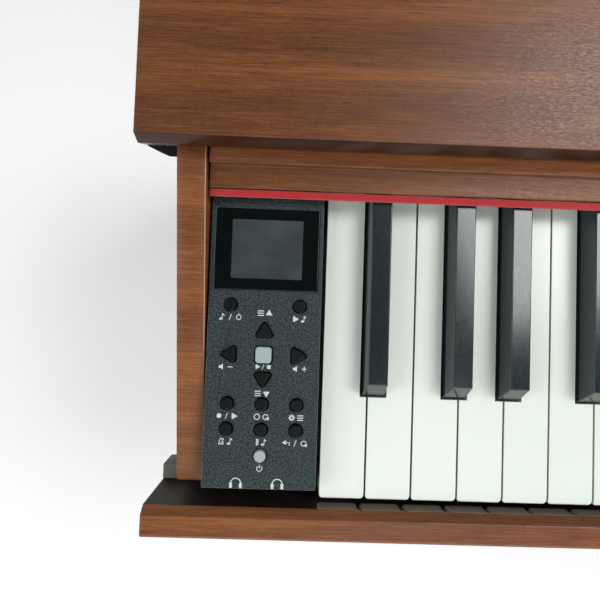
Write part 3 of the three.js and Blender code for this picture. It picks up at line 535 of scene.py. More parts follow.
def copied(node, *finishes):
    """A copy of a node's shape whose faces are merged, so that its edges can be eased."""
    mesh = NODES[node].data.copy()
    edit = edit_of(mesh)
    bmesh.ops.remove_doubles(edit, verts=edit.verts, dist=SAME_POINT)
    bmesh.ops.dissolve_limit(edit, angle_limit=FLAT_ANGLE, verts=edit.verts, edges=edit.edges)
    return linked(node + "_shown", written(edit, mesh), *finishes)


def round_shading(piece):
    piece.data.polygons.foreach_set("use_smooth", [True] * len(piece.data.polygons))


def flat_faces(piece):
    """Shades the large faces flat and leaves the bend to the edges between them."""
    return piece.modifiers.new("Flat faces", "WEIGHTED_NORMAL")


def smooth(piece, angle=35.0):
    round_shading(piece)
    piece.data.set_sharp_from_angle(angle=math.radians(angle))
    flat_faces(piece).keep_sharp = True
    return piece


def eased(piece, radius, segments=2, angle=35.0, edge_finish=-1):
    """Rounds the piece's edges and shades it smooth."""
    round_shading(piece)
    bevel = piece.modifiers.new("Eased edges", "BEVEL")
    bevel.width = radius
    bevel.segments = segments
    bevel.limit_method = "ANGLE"
    bevel.angle_limit = math.radians(angle)
    bevel.harden_normals = True
    bevel.material = edge_finish
    return piece


def dressed(node, coat, radius, segments=3, angle=35.0):
    """A copy that stands for a node in one finish, with its edges eased."""
    return stands_for(eased(copied(node, coat), radius, segments, angle), node)


def paint_faces(piece, chosen, place):
    """Gives the faces that pass the test another of the piece's finishes."""
    for face in piece.data.polygons:
        if chosen(face):
            face.material_index = place


def between(face, places):
    return places[0] < face.center.x < places[1]


def split(edit, places, axis):
    """Splits the faces of an open mesh where it passes each place along an axis."""
    for place in places:
        everything = edit.verts[:] + edit.edges[:] + edit.faces[:]
        bmesh.ops.bisect_plane(edit, geom=everything, plane_co=axis * place, plane_no=axis)


def cut_across(piece, places):
    edit = edit_of(piece.data)
    split(edit, places, X_AXIS)
    written(edit, piece.data)


def pushed(edit, faces, rise):
    """Moves faces up or down, with walls between their old and new edges."""
    grown = bmesh.ops.extrude_face_region(edit, geom=faces)["geom"]
    bmesh.ops.delete(edit, geom=faces, context="FACES_ONLY")
    moved = [part for part in grown if isinstance(part, bmesh.types.BMVert)]
    bmesh.ops.translate(edit, verts=moved, vec=(0.0, 0.0, rise))


def add_solid(edit, rings):
    """Adds a closed solid through rings of points."""
    rows = [[edit.verts.new(point) for point in ring] for ring in rings]
    edit.faces.new(rows[0][::-1])
    edit.faces.new(rows[-1])
    for first, second in zip(rows, rows[1:]):
        for i in range(len(first)):
            j = (i + 1) % len(first)
            edit.faces.new((first[i], first[j], second[j], second[i]))


def arc(centre, radius, start, end, steps):
    angles = [math.radians(start + (end - start) * i / steps) for i in range(steps + 1)]
    return [(centre[0] + radius * math.cos(a), centre[1] + radius * math.sin(a)) for a in angles]


def circle(centre, radius, steps=40):
    return arc(centre, radius, 0.0, 360.0, steps)[:-1]


def rectangle(left, right, front, back, radius=0.0, steps=5):
    if not radius:
        return [(left, front), (right, front), (right, back), (left, back)]
    points = []
    inner = rectangle(left + radius, right - radius, front + radius, back - radius)
    for corner, start in zip(inner, (180.0, 270.0, 0.0, 90.0)):
        points += arc(corner, radius, start, start + 90.0, steps)
    return points


def rim_of(node, grow=0.0, radius=0.6 * MM, steps=5):
    """Outline of a node's box seen from above, grown by a clearance."""
    lowest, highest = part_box(node)
    return rectangle(lowest.x - grow, highest.x + grow, lowest.y - grow, highest.y + grow, radius, steps)


def rounded_triangle(centre, reach, radius, heading, steps=8):
    points = []
    for corner in (heading, heading + 120.0, heading + 240.0):
        tip = arc(centre, reach - radius, corner, corner, 1)[0]
        points += arc(tip, radius, corner - 60.0, corner + 60.0, steps)
    return points


def bezier(start, first, second, end, steps=32):
    points = []
    for i in range(1, steps + 1):
        t = i / steps
        weights = ((1 - t) ** 3, 3 * t * (1 - t) ** 2, 3 * t * t * (1 - t), t**3)
        pairs = list(zip(weights, (start, first, second, end)))
        points.append(tuple(sum(weight * point[k] for weight, point in pairs) for k in (0, 1)))
    return points


def sheet_of(name, outlines, bottom, top, bevel=0.0, rounds=2):
    """A flat plate with holes: the first outline is its rim, and bevel rounds every edge."""
    curve = bpy.data.curves.new(name, "CURVE")
    curve.dimensions = "2D"
    curve.fill_mode = "BOTH"
    curve.extrude = (top - bottom) / 2 - bevel
    curve.bevel_depth = bevel
    curve.bevel_resolution = rounds
    curve.offset = -bevel
    for outline in outlines:
        spline = curve.splines.new("POLY")
        spline.points.add(len(outline) - 1)
        for point, (u, v) in zip(spline.points, outline):
            point.co = (u, v, 0.0, 1.0)
        spline.use_cyclic_u = True
    edit = edit_of(plain_mesh(added_object(name, curve)))
    bmesh.ops.remove_doubles(edit, verts=edit.verts, dist=SAME_POINT / 2)
    bmesh.ops.translate(edit, verts=edit.verts, vec=(0.0, 0.0, (top + bottom) / 2))
    return mesh_of(name, edit)


def plain_mesh(holder):
    """The mesh that a curve or a live modifier gives; its object is removed."""
    depsgraph = bpy.context.evaluated_depsgraph_get()
    mesh = bpy.data.meshes.new_from_object(holder.evaluated_get(depsgraph))
    mesh.name = holder.name
    bpy.data.objects.remove(holder)
    return mesh


# Geometry Nodes


class Tree:
    """A geometry node tree with named inputs, each of a kind such as Float."""

    def __init__(self, name, **inputs):
        self.group = bpy.data.node_groups.new(name, "GeometryNodeTree")
        self.sockets = {}
        for label, kind in {"Geometry": "Geometry", **inputs, "Finish": "Material"}.items():
            self.sockets[label] = self.socket(label.replace("_", " "), "INPUT", kind)
        self.socket("Geometry", "OUTPUT", "Geometry")
        self.given = self.group.nodes.new("NodeGroupInput")

    def socket(self, label, way, kind):
        return self.group.interface.new_socket(label, in_out=way, socket_type="NodeSocket" + kind)

    def node(self, kind, *sources, settings=None, **links):
        """A new node: sources feed its inputs in order, links by name with an underscore for a space."""
        made = self.group.nodes.new(kind)
        for key, value in (settings or {}).items():
            setattr(made, key, value)
        shown = [socket for socket in made.inputs if socket.enabled]
        for target, source in zip(shown, sources):
            self.feed(target, source)
        for label, source in links.items():
            self.feed(next(s for s in shown if s.name == label.replace("_", " ")), source)
        return made

    def feed(self, target, source):
        """Gives an input a value, or links it to a node, a socket or one of the tree's own inputs."""
        if isinstance(source, str):
            source = self.given.outputs[source]
        if isinstance(source, bpy.types.Node):
            source = source.outputs[0]
        if isinstance(source, bpy.types.NodeSocket):
            self.group.links.new(source, target)
        else:
            target.default_value = source

    def step(self, kind, operation, *sources):
        return self.node(kind, *sources, settings={"operation": operation})

    def on_points(self, shape, **links):
        """Puts a shape on every point of the mesh, in the tree's finish."""
        copies = self.node("GeometryNodeInstanceOnPoints", Points="Geometry", Instance=shape, **links)
        real = self.node("GeometryNodeRealizeInstances", Geometry=copies)
        coated = self.node("GeometryNodeSetMaterial", Geometry=real, Material="Finish")
        output = self.group.nodes.new("NodeGroupOutput")
        self.group.links.new(coated.outputs["Geometry"], output.inputs["Geometry"])
        return self

    def applied(self, name, points, **values):
        """The plain mesh that the tree makes from points and the values of its inputs."""
        mesh = bpy.data.meshes.new(name)
        mesh.from_pydata(points, [], [])
        holder = added_object(name, mesh)
        modifier = holder.modifiers.new(name, "NODES")
        modifier.node_group = self.group
        for label, value in values.items():
            modifier[self.sockets[label].identifier] = value
        return plain_mesh(holder)


def black_key_tree():
    """One tapered black key, hollow from below, on every point of the mesh."""
    plain = dict.fromkeys(("Length", "Base_width", "Top_share", "Height", "Slope"), "Float")
    tree = Tree("black_keys", **plain, Hollow="Vector", Hollow_place="Vector")
    size = tree.node("ShaderNodeCombineXYZ", "Base width", "Length", "Height")
    cube = tree.node("GeometryNodeMeshCube", Size=size, Vertices_Z=3)
    parts = tree.node("ShaderNodeSeparateXYZ", tree.node("GeometryNodeInputPosition"))
    x, y, z = parts.outputs
    raised = tree.step("FunctionNodeCompare", "GREATER_THAN", z, 0.1 * MM)
    ahead = tree.step("FunctionNodeCompare", "LESS_THAN", y, 0.0)
    front = tree.step("FunctionNodeBooleanMath", "AND", raised, ahead)
    number = {"input_type": "FLOAT"}
    width = tree.node("GeometryNodeSwitch", raised, 1.0, "Top share", settings=number)
    lean = tree.node("GeometryNodeSwitch", front, 0.0, "Slope", settings=number)
    across = tree.step("ShaderNodeMath", "MULTIPLY", x, width)
    back = tree.step("ShaderNodeMath", "ADD", y, lean)
    moved = tree.node("ShaderNodeCombineXYZ", across, back, z)
    key = tree.node("GeometryNodeSetPosition", Geometry=cube, Position=moved)
    block = tree.node("GeometryNodeMeshCube", Size="Hollow")
    sunk = tree.node("GeometryNodeTransform", Geometry=block, Translation="Hollow place")
    shell = tree.step("GeometryNodeMeshBoolean", "DIFFERENCE", key, sunk)
    return tree.on_points(shell)


# As shares of a screw's radius: how high it domes, the bars of its cross recess and how high they stand
DOME_SHARE = 0.5
CROSS_BARS = ((1.5, 0.26, 0.9), (0.26, 1.5, 0.9))
CROSS_LIFT = 0.68


def screw_tree():
    """A domed screw with a cross recess on every point of the mesh."""
    tree = Tree("screws", Radius="Float", Turn="Vector")
    dome = tree.node("GeometryNodeMeshUVSphere", Radius="Radius", Segments=24, Rings=12)
    flat = tree.node("GeometryNodeTransform", Geometry=dome, Scale=(1.0, 1.0, DOME_SHARE))
    cross = tree.step("GeometryNodeMeshBoolean", "UNION")
    for size in CROSS_BARS:
        scaled = tree.step("ShaderNodeVectorMath", "SCALE", size, "Radius")
        bar = tree.node("GeometryNodeMeshCube", Size=scaled)
        tree.feed(cross.inputs["Mesh 2"], bar)
    raised = tree.step("ShaderNodeVectorMath", "SCALE", (0.0, 0.0, CROSS_LIFT), "Radius")
    high_cross = tree.node("GeometryNodeTransform", Geometry=cross, Translation=raised)
    head = tree.step("GeometryNodeMeshBoolean", "DIFFERENCE", flat, high_cross)
    return tree.on_points(head, Rotation="Turn")


# Keys

# Where the front edge of a white key is cut, as shares of its roll
ROLL_SHARES = (0.25, 0.42, 0.58, 0.72, 0.86, 1.0)
NEAR = 0.01 * MM
UNDER_NAMEBOARD = 10.0 * MM


def black_centre(index):
    """Middle of the black key after a white one, or None where there is none."""
    share = BLACK_SHIFT_SHARES.get(LETTERS[(index + FIRST_LETTER) % len(LETTERS)])
    if share is None or not 0 <= index < WHITE_COUNT - 1:
        return None
    return KEYS_LEFT + (index + 1 + share) * KEY_PITCH


def white_outline(index):
    """Outline of a white key seen from above, with a notch for each black neighbour."""
    s = sizes()
    left = KEYS_LEFT + index * KEY_PITCH + KEY_GAP / 2
    right = left + KEY_PITCH - KEY_GAP
    half = s.black_base / 2 + s.notch
    before = black_centre(index - 1)
    after = black_centre(index)
    tail_left = left if before is None else before + half
    tail_right = right if after is None else after - half
    shoulder = KEYS_FRONT + s.key_head
    corner = s.key_corner
    outline = arc((left + corner, KEYS_FRONT + corner), corner, 180.0, 270.0, 6)
    outline += arc((right - corner, KEYS_FRONT + corner), corner, 270.0, 360.0, 6)
    if after is not None:
        outline += [(right, shoulder), (tail_right, shoulder)]
    outline += [(tail_right, KEYS_BACK), (tail_left, KEYS_BACK)]
    if before is not None:
        outline += [(tail_left, shoulder), (left, shoulder)]
    return outline


def white_key(index):
    s = sizes()
    key = bmesh.new()
    bottom = WHITE_TOP - s.key_body
    add_solid(key, [[(x, y, level) for x, y in white_outline(index)] for level in (bottom, WHITE_TOP)])
    rolls = [KEYS_FRONT + s.key_roll * share**2 for share in ROLL_SHARES]
    split(key, [*rolls, KEYS_FRONT + s.key_wall], Y_AXIS)
    for vertex in key.verts:
        reach = vertex.co.y - KEYS_FRONT
        if vertex.co.z > WHITE_TOP - NEAR and reach < s.key_roll:
            vertex.co.z -= s.key_drop * (1 - math.sqrt(max(reach, 0.0) / s.key_roll)) ** 2
    under = [f for f in key.faces if all(abs(v.co.z - bottom) < NEAR for v in f.verts)]
    lip = [f for f in under if all(v.co.y < KEYS_FRONT + s.key_wall + NEAR for v in f.verts)]
    hollow = [f for f in under if f not in lip]
    pushed(key, lip, s.key_body - s.key_lip)
    bmesh.ops.inset_region(key, faces=hollow, thickness=s.key_wall, use_even_offset=True)
    pushed(key, hollow, s.key_body - s.key_skin)
    return mesh_of("key", key)


def white_keys(node, indices):
    meshes = [white_key(index) for index in indices]
    piece = linked(node + "_shown", joined(node, *meshes), "ivory", "ivory side")
    for mesh in meshes:
        bpy.data.meshes.remove(mesh)
    # The side faces take the darker ivory: painted shade between the keys
    paint_faces(piece, lambda face: abs(face.normal.x) > FACING, 1)
    smooth(piece, 40.0)
    eased(piece, sizes().key_edge, 3, 50.0, 0)
    return stands_for(piece, node)


def black_keys(tree, node, indices):
    s = sizes()
    front = KEYS_FRONT + s.key_head + s.notch
    back = low("nameboard").y + UNDER_NAMEBOARD
    height = high(node).z - WHITE_TOP
    centres = [black_centre(index) for index in indices]
    points = [(centre, (front + back) / 2, WHITE_TOP) for centre in centres if centre is not None]
    walls = s.key_wall * 2
    mesh = tree.applied(
        node + "_shown",
        points,
        Length=back - front,
        Base_width=s.black_base,
        Top_share=s.black_top / s.black_base,
        Height=height * 2,
        Slope=s.black_slope,
        Hollow=(s.black_base - walls, back - front - walls, height * 2 - s.key_skin * 2),
        Hollow_place=(0.0, 0.0, -height),
        Finish=finish("ebony"),
    )
    piece = linked(node + "_shown", mesh, "ebony")
    eased(piece, s.black_edge, 4, 20.0)
    return stands_for(piece, node)


class PIANO_OT_keys(bpy.types.Operator):
    """Build the white and black keys"""

    bl_idname = "piano.keys"
    bl_label = "Keys"

    def execute(self, context):
        tree = black_key_tree()
        white_keys("A0", [0])
        white_keys("B0", [1])
        black_keys(tree, "A_sharp0", [0])
        for octave in OCTAVES:
            first = 2 + (octave - 1) * len(LETTERS)
            last = WHITE_COUNT if octave == OCTAVES[-1] else first + len(LETTERS)
            white_keys(f"white_keys_{octave}", range(first, last))
            black_keys(tree, f"black_keys_{octave}", range(first, last))
        return {"FINISHED"}


# Cabinet

THIN_EDGE = 0.4 * MM
FOIL_EDGE = 0.5 * MM
FOOT_EDGE = 1.2 * MM
REST_EDGE = 1.0 * MM
PEDAL_EDGE = 1.4 * MM

# A bracket's outline in millimetres, out from the arm and down from the top board, and its place
BRACKET = ((0.0, 0.0), (14.2, 0.0), (14.2, -3.0), (12.6, -6.2), (9.6, -12.6), (7.6, -16.0), (0.0, -17.0))
BRACKET_SETBACK = 3.0 * MM
BRACKET_DEPTH = 36.0 * MM

# The sweep of a side panel's front between desk and foot
SWEEP_HEIGHT = 150.0 * MM
SWEEP_DEPTH = 120.0 * MM


class PIANO_OT_cabinet(bpy.types.Operator):
    """Build the wooden boards of the console"""

    bl_idname = "piano.cabinet"
    bl_label = "Cabinet"

    def execute(self, context):
        for node in ("left_arm", "right_arm"):
            dressed(node, "walnut arm", sizes().board_edge)
        top = copied("top_board", "walnut along x", "walnut edge")
        # The front faces take the darker edge band: painted shade on the board's front
        paint_faces(top, lambda face: face.normal.y < -SLOPING, 1)
        stands_for(eased(top, THIN_EDGE, 2, 10.0), "top_board")
        self.rail()
        board = copied("nameboard", "walnut along x", "walnut rail")
        step = middle("nameboard").z
        # The upper tread takes the lighter rail walnut: painted light on the tread under the top board's
        # overhang
        paint_faces(board, lambda face: face.normal.z > FACING and face.center.z > step, 1)
        stands_for(eased(board, FOIL_EDGE, 3), "nameboard")
        dressed("back_panel", "hardboard", THIN_EDGE, 2)
        # The keybed is painted near black as shade between the arms, and lighter as light on its ends past
        # them
        bed = copied("keybed", "dark board", "primed board")
        cut_across(bed, OUTSIDE_ARMS)
        paint_faces(bed, lambda face: not between(face, OUTSIDE_ARMS), 1)
        stands_for(eased(bed, THIN_EDGE), "keybed")
        for name, side, face in (("left", -1, OUTSIDE_ARMS[0]), ("right", 1, OUTSIDE_ARMS[1])):
            self.bracket("bracket_" + name, side, face)
        return {"FINISHED"}

    def rail(self):
        """The front rail: its chamfer is painted darker than its top as shade, its inner face is painted near
        black as shade beyond the keys, and it shines along the keys.
        """
        rail = copied("front_rail", "walnut rail", "dark foil", "walnut chamfer", "polished foil")
        cut_across(rail, KEYBOARD)
        # Inner face beyond the keys: near black, painted shade
        paint_faces(rail, lambda face: face.normal.y > FACING, 1)
        paint_faces(rail, lambda face: face.normal.y > FACING and between(face, KEYBOARD), 3)
        # Chamfer: darker walnut, painted shade where it tilts back from the light
        paint_faces(rail, lambda face: SLOPING < face.normal.y < FACING, 2)
        flat_faces(eased(rail, FOIL_EDGE, 2, 30.0))
        stands_for(rail, "front_rail")

    def bracket(self, name, side, face):
        """A black corner bracket under an end of the top board, against the arm's outer face; its black block
        also stands in for the shade under the board's overhang.
        """
        top = low("top_board").z
        front = low("top_board").y + BRACKET_SETBACK
        edit = bmesh.new()
        outline = [(face + side * out * MM, top + up * MM) for out, up in BRACKET]
        add_solid(edit, [[(x, y, z) for x, z in outline] for y in (front, front + BRACKET_DEPTH)])
        bracket = linked(name, mesh_of("bracket", edit), "rubber")
        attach(eased(bracket, THIN_EDGE), body_of("top_board"))


def side_outline(node):
    """Outline in y and z of a side panel, with its front swept back between desk and foot."""
    lowest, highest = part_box(node)
    waist = lowest.y + SWEEP_DEPTH
    upper = [(lowest.y, highest.z - SWEEP_HEIGHT * share) for share in (0, 1)]
    upper += [(waist, highest.z - SWEEP_HEIGHT * share) for share in (1, 2)]
    lower = [(waist, lowest.z + SWEEP_HEIGHT * share) for share in (1, 0.5)]
    lower += [(lowest.y, lowest.z + SWEEP_HEIGHT * share) for share in (0.5, 0)]
    corners = [(lowest.y, lowest.z), (highest.y, lowest.z), (highest.y, highest.z), upper[0]]
    return [*corners, *bezier(*upper), lower[0], *bezier(*lower)[:-1]]


class PIANO_OT_stand(bpy.types.Operator):
    """Build the side panels, feet, kick panel and pedal beam"""

    bl_idname = "piano.stand"
    bl_label = "Stand"

    def execute(self, context):
        radius = sizes().board_edge
        for node in ("left_side_panel", "right_side_panel"):
            edit = bmesh.new()
            add_solid(edit, [[(x, y, z) for y, z in side_outline(node)] for x in (low(node).x, high(node).x)])
            piece = linked(node + "_shown", mesh_of(node, edit), "walnut upright")
            stands_for(eased(piece, radius, 3), node)
        for node in ("left_foot", "right_foot"):
            dressed(node, "walnut along y", FOOT_EDGE, angle=25.0)
        dressed("kick_panel", "walnut along x", radius)
        stands_for(smooth(copied("pedal_beam", "walnut along x")), "pedal_beam")
        return {"FINISHED"}


class PIANO_OT_pedals(bpy.types.Operator):
    """Build the three brass pedals"""

    bl_idname = "piano.pedals"
    bl_label = "Pedals"

    def execute(self, context):
        for node in ("soft_pedal", "sostenuto_pedal", "sustain_pedal"):
            dressed(node, "brass", PEDAL_EDGE)
        return {"FINISHED"}


class PIANO_OT_music_rest(bpy.types.Operator):
    """Build the folding music rest and its hinge"""

    bl_idname = "piano.music_rest"
    bl_label = "Music rest"

    def execute(self, context):
        dressed("music_rest", "walnut along x", REST_EDGE)
        recoated("rest_hinge", "steel")
        return {"FINISHED"}


FELT_STEP = 1.6 * MM
FELT_CORNER = 0.7 * MM
FUZZ_SCALE = 2.4 * MM


class PIANO_OT_felt(bpy.types.Operator):
    """Build the felt strip behind the keys"""

    bl_idname = "piano.felt"
    bl_label = "Felt strip"

    def execute(self, context):
        lowest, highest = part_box("felt_strip")
        run = highest.x - lowest.x
        steps = int(run / FELT_STEP)
        outline = rectangle(lowest.y, highest.y, lowest.z, highest.z, FELT_CORNER, 3)
        edit = bmesh.new()
        add_solid(edit, [[(lowest.x + run * i / steps, y, z) for y, z in outline] for i in range(steps + 1)])
        strip = smooth(linked("felt_shown", mesh_of("felt", edit), "felt"), 60.0)
        texture = bpy.data.textures.new("felt fuzz", "CLOUDS")
        texture.noise_scale = FUZZ_SCALE
        fuzz = strip.modifiers.new("Fuzz", "DISPLACE")
        fuzz.texture = texture
        fuzz.texture_coords = "LOCAL"
        fuzz.strength = sizes().felt_fuzz
        fuzz.mid_level = 1.0
        stands_for(strip, "felt_strip")
        return {"FINISHED"}


# Control panel

ROUND_BUTTONS = ("mode", "demo", "record", "sync", "setting", "beat", "chord", "return", "power")
ARROW_HEADINGS = {"up_button": 90.0, "left_button": 180.0, "right_button": 0.0, "down_button": 270.0}
BUTTONS = (*(name + "_button" for name in ROUND_BUTTONS), *ARROW_HEADINGS, "start_button")
GREY_BUTTONS = ("start_button", "power_button")
ROUND_RADIUS = 3.65 * MM
SQUARE_HALF = 4.7 * MM
SQUARE_CORNER = 1.5 * MM
ARROW_REACH = 5.0 * MM
ARROW_CORNER = 1.6 * MM
CAP_LIFT = 0.6 * MM
CAP_INSET = 0.75 * MM
CAP_EDGE = 0.5 * MM
FLANGE_REACH = 0.9 * MM
FLANGE_HEIGHT = 0.9 * MM
FLANGE_MARGIN = 0.05 * MM

PANEL_CORNER = 0.8 * MM
SKIRT_INSET = 0.3 * MM
SKIRT_LAP = 0.2 * MM
GLASS_GAP = 0.25 * MM
GLASS_EDGE = 0.2 * MM
WINDOW_HALF = 17.6 * MM
WINDOW_FRONT = 14.6 * MM
WINDOW_BACK = 14.8 * MM
WINDOW_CORNER = 0.5 * MM
WINDOW_HEIGHT = 0.04 * MM
BLOCK_EDGE = 0.6 * MM


def arrow_centre(node):
    """The triangle's own centre, a third of the way from its base to its tip."""
    heading = ARROW_HEADINGS[node]
    base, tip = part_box(node) if heading < 180.0 else (high(node), low(node))
    centre = base + (tip - base) / 3
    upright = heading in (90.0, 270.0)
    return (middle("sync_button").x, centre.y) if upright else (centre.x, middle("start_button").y)


def button_outline(node, grow):
    """Fine outline of a button seen from above, grown by a clearance."""
    if node in ARROW_HEADINGS:
        corner = ARROW_CORNER + grow
        return rounded_triangle(arrow_centre(node), ARROW_REACH + grow, corner, ARROW_HEADINGS[node])
    x, y, _ = middle(node)
    if node == "start_button":
        half = SQUARE_HALF + grow
        return rectangle(x - half, x + half, y - half, y + half, SQUARE_CORNER)
    return circle((x, y), ROUND_RADIUS + grow)


class PIANO_OT_panel(bpy.types.Operator):
    """Build the control panel, its screen and its buttons"""

    bl_idname = "piano.panel"
    bl_label = "Control panel"

    def execute(self, context):
        self.housing()
        self.screen()
        for node in BUTTONS:
            self.button(node)
        block = copied("right_end_block", "panel", "panel edge")
        # The block's eased edges take the lighter plastic: a painted highlight
        stands_for(eased(block, BLOCK_EDGE, 2, edge_finish=1), "right_end_block")
        return {"FINISHED"}

    def housing(self):
        s = sizes()
        bottom, top = low("control_panel").z, PANEL_TOP
        outlines = [rim_of("control_panel", 0.0, PANEL_CORNER, 3), rim_of("screen_glass", GLASS_GAP)]
        outlines += [button_outline(node, 0.0) for node in BUTTONS]
        face = sheet_of("face", outlines, top - s.panel_skin, top, s.panel_edge)
        skirt = bmesh.new()
        outer = rim_of("control_panel", -SKIRT_INSET, PANEL_CORNER, 3)
        add_solid(skirt, [[(x, y, z) for x, y in outer] for z in (bottom, top - s.panel_skin + SKIRT_LAP)])
        mesh = joined("panel", face, mesh_of("skirt", skirt))
        panel = smooth(linked("control_panel_shown", mesh, "panel", "panel edge"), 30.0)
        # Sloped edge faces take the lighter plastic: a painted highlight
        paint_faces(panel, lambda face: 0.1 < face.normal.z < 0.95, 1)
        stands_for(panel, "control_panel")

    def screen(self):
        bottom, top = low("screen_glass").z, high("screen_glass").z
        glass = sheet_of("glass", [rim_of("screen_glass")], bottom, top, GLASS_EDGE)
        stands_for(smooth(linked("screen_glass_shown", glass, "glass")), "screen_glass")
        x, y, _ = middle("screen_glass")
        window = rectangle(x - WINDOW_HALF, x + WINDOW_HALF, y - WINDOW_FRONT, y + WINDOW_BACK, WINDOW_CORNER)
        display = sheet_of("display", [window], top - GLASS_EDGE, top + WINDOW_HEIGHT)
        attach(linked("display_area", display, "display"), body_of("screen_glass"))

    def button(self, node):
        bottom, top = low(node).z, high(node).z
        coat = "grey button" if node in GREY_BUTTONS else "button"
        cap = sheet_of("cap", [button_outline(node, -CAP_INSET)], bottom + CAP_LIFT, top, CAP_EDGE, 4)
        level = bottom + FLANGE_HEIGHT
        flange = sheet_of("flange", [button_outline(node, FLANGE_REACH)], bottom, level)
        button = linked(node + "_shown", joined(node, cap, flange), coat, "rubber")
        paint_faces(button, lambda face: face.center.z < level + FLANGE_MARGIN, 1)
        stands_for(smooth(button), node)


# Printed marks: each is a list of shapes in millimetres, and a shape is a rim followed by its holes


def bar(left, right, front, back):
    return [[rectangle(left, right, front, back)]]


def triangle(heading, reach=1.75):
    return [[rounded_triangle((0.0, 0.0), reach, 0.15, heading, 2)]]


def disc(radius):
    return [[circle((0.0, 0.0), radius, 20)]]


def ring(radius=1.55, wall=0.45):
    return [[circle((0.0, 0.0), radius, 24), circle((0.0, 0.0), radius - wall, 24)]]


def open_ring(radius, wall, start, end):
    outer, inner = (arc((0.0, 0.0), reach, start, end, 20) for reach in (radius, radius - wall))
    return [[outer + inner[::-1]]]


def shifted(mark, x, y, scale=1.0):
    return [[[(u * scale + x, v * scale + y) for u, v in outline] for outline in shape] for shape in mark]


def stacked(mark):
    """Three of a mark, one above the other."""
    return [shape for level in (-1.1, 0.0, 1.1) for shape in shifted(mark, 0.0, level)]


def gear_rim():
    corners = ((-0.3, 1.2), (-0.17, 1.65), (0.17, 1.65), (0.3, 1.2))
    turns = [((tooth + share) * math.pi / 4, reach) for tooth in range(8) for share, reach in corners]
    return [(reach * math.cos(turn), reach * math.sin(turn)) for turn, reach in turns]


NOTE_HEAD = [(-0.45 + 0.85 * u, -1.05 + 0.6 * v) for u, v in circle((0.0, 0.0), 1.0, 16)]
NOTE_FLAG = [(0.35, 1.7), (1.35, 0.9), (1.15, 0.4), (0.35, 1.05)]
MARKS = {
    "note": [[NOTE_HEAD], *bar(0.05, 0.4, -1.05, 1.7), [NOTE_FLAG]],
    "slash": [[[(-0.75, -1.5), (-0.35, -1.5), (0.75, 1.5), (0.35, 1.5)]]],
    "play": triangle(0.0),
    "up": triangle(90.0),
    "down": triangle(270.0),
    "square": bar(-1.15, 1.15, -1.15, 1.15),
    "dot": disc(1.2),
    "ring": ring(),
    "drum": [*ring(1.35, 0.4), *bar(-0.2, 0.2, 1.3, 1.9)],
    "list": stacked(bar(-1.5, 1.5, -0.25, 0.25)),
    "speaker": [[[(-1.4, -0.6), (-0.6, -0.6), (0.6, -1.5), (0.6, 1.5), (-0.6, 0.6), (-1.4, 0.6)]]],
    "minus": bar(-1.2, 1.2, -0.22, 0.22),
    "plus": [*bar(-1.2, 1.2, -0.22, 0.22), *bar(-0.22, 0.22, 0.22, 1.2), *bar(-0.22, 0.22, -1.2, -0.22)],
    "gear": [[gear_rim(), circle((0.0, 0.0), 0.55, 12)]],
    "metronome": [
        [
            [(-1.4, -1.5), (1.4, -1.5), (0.65, 1.5), (-0.65, 1.5)],
            [(-0.9, -1.1), (0.9, -1.1), (0.4, 1.1), (-0.4, 1.1)],
        ],
        [[(-0.18, -1.1), (0.18, -1.1), (1.35, 1.3), (1.05, 1.5)]],
    ],
    "chord": [*stacked(disc(0.5)), *bar(0.45, 0.8, -1.1, 1.8)],
    "back": [*shifted(triangle(180.0, 1.2), -0.9, 0.3), *bar(-0.6, 1.2, 0.1, 0.5), *bar(1.2, 1.6, -1.2, 0.5)],
    "repeat": [*open_ring(1.45, 0.42, 20.0, 310.0), *shifted(triangle(60.0, 1.0), 1.1, -0.75)],
    "power": [*open_ring(1.5, 0.42, 125.0, 415.0), *bar(-0.21, 0.21, 0.1, 1.8)],
    "headphones": [
        *open_ring(2.7, 0.5, 8.0, 172.0),
        [rectangle(-3.1, -1.7, -2.3, 0.4, 0.4, 3)],
        [rectangle(1.7, 3.1, -2.3, 0.4, 0.4, 3)],
    ],
}

# A button, how far above its middle its marks stand in millimetres, the marks, and their pitch and scale
PRINTED = (
    ("mode_button", -6.2, "note slash drum"),
    ("demo_button", -6.2, "play note"),
    ("left_button", -6.4, "speaker minus"),
    ("right_button", -6.4, "speaker plus"),
    ("start_button", -5.9, "play slash square", 3.6, 0.8),
    ("record_button", -6.2, "dot slash play", 3.6),
    ("sync_button", -6.2, "ring repeat"),
    ("setting_button", -6.2, "gear list"),
    ("beat_button", -6.2, "metronome note"),
    ("chord_button", -6.2, "chord note", 3.4),
    ("return_button", -6.2, "back slash repeat"),
    ("power_button", -6.2, "power"),
    ("up_button", 7.4, "list up"),
    ("down_button", -6.0, "list down"),
)
SOCKET_MARKS = (-11.3, 9.0)
SOCKET_MARKS_RISE = 2.7


def row(names, pitch=4.2, scale=1.0):
    """Marks set side by side."""
    names = names.split()
    shapes = []
    for place, name in enumerate(names):
        shapes += shifted(MARKS[name], (place - (len(names) - 1) / 2) * pitch, 0.0)
    return shifted(shapes, 0.0, 0.0, scale)


def printed_shapes():
    """Every printed shape in the model's frame."""
    shapes = []
    for node, rise, names, *spacing in PRINTED:
        shapes += shifted(row(names, *spacing), middle(node).x, middle(node).y + rise * MM, MM)
    for aside in SOCKET_MARKS:
        x = middle("sync_button").x + aside * MM
        shapes += shifted(MARKS["headphones"], x, low("control_panel").y + SOCKET_MARKS_RISE * MM, MM)
    return shapes


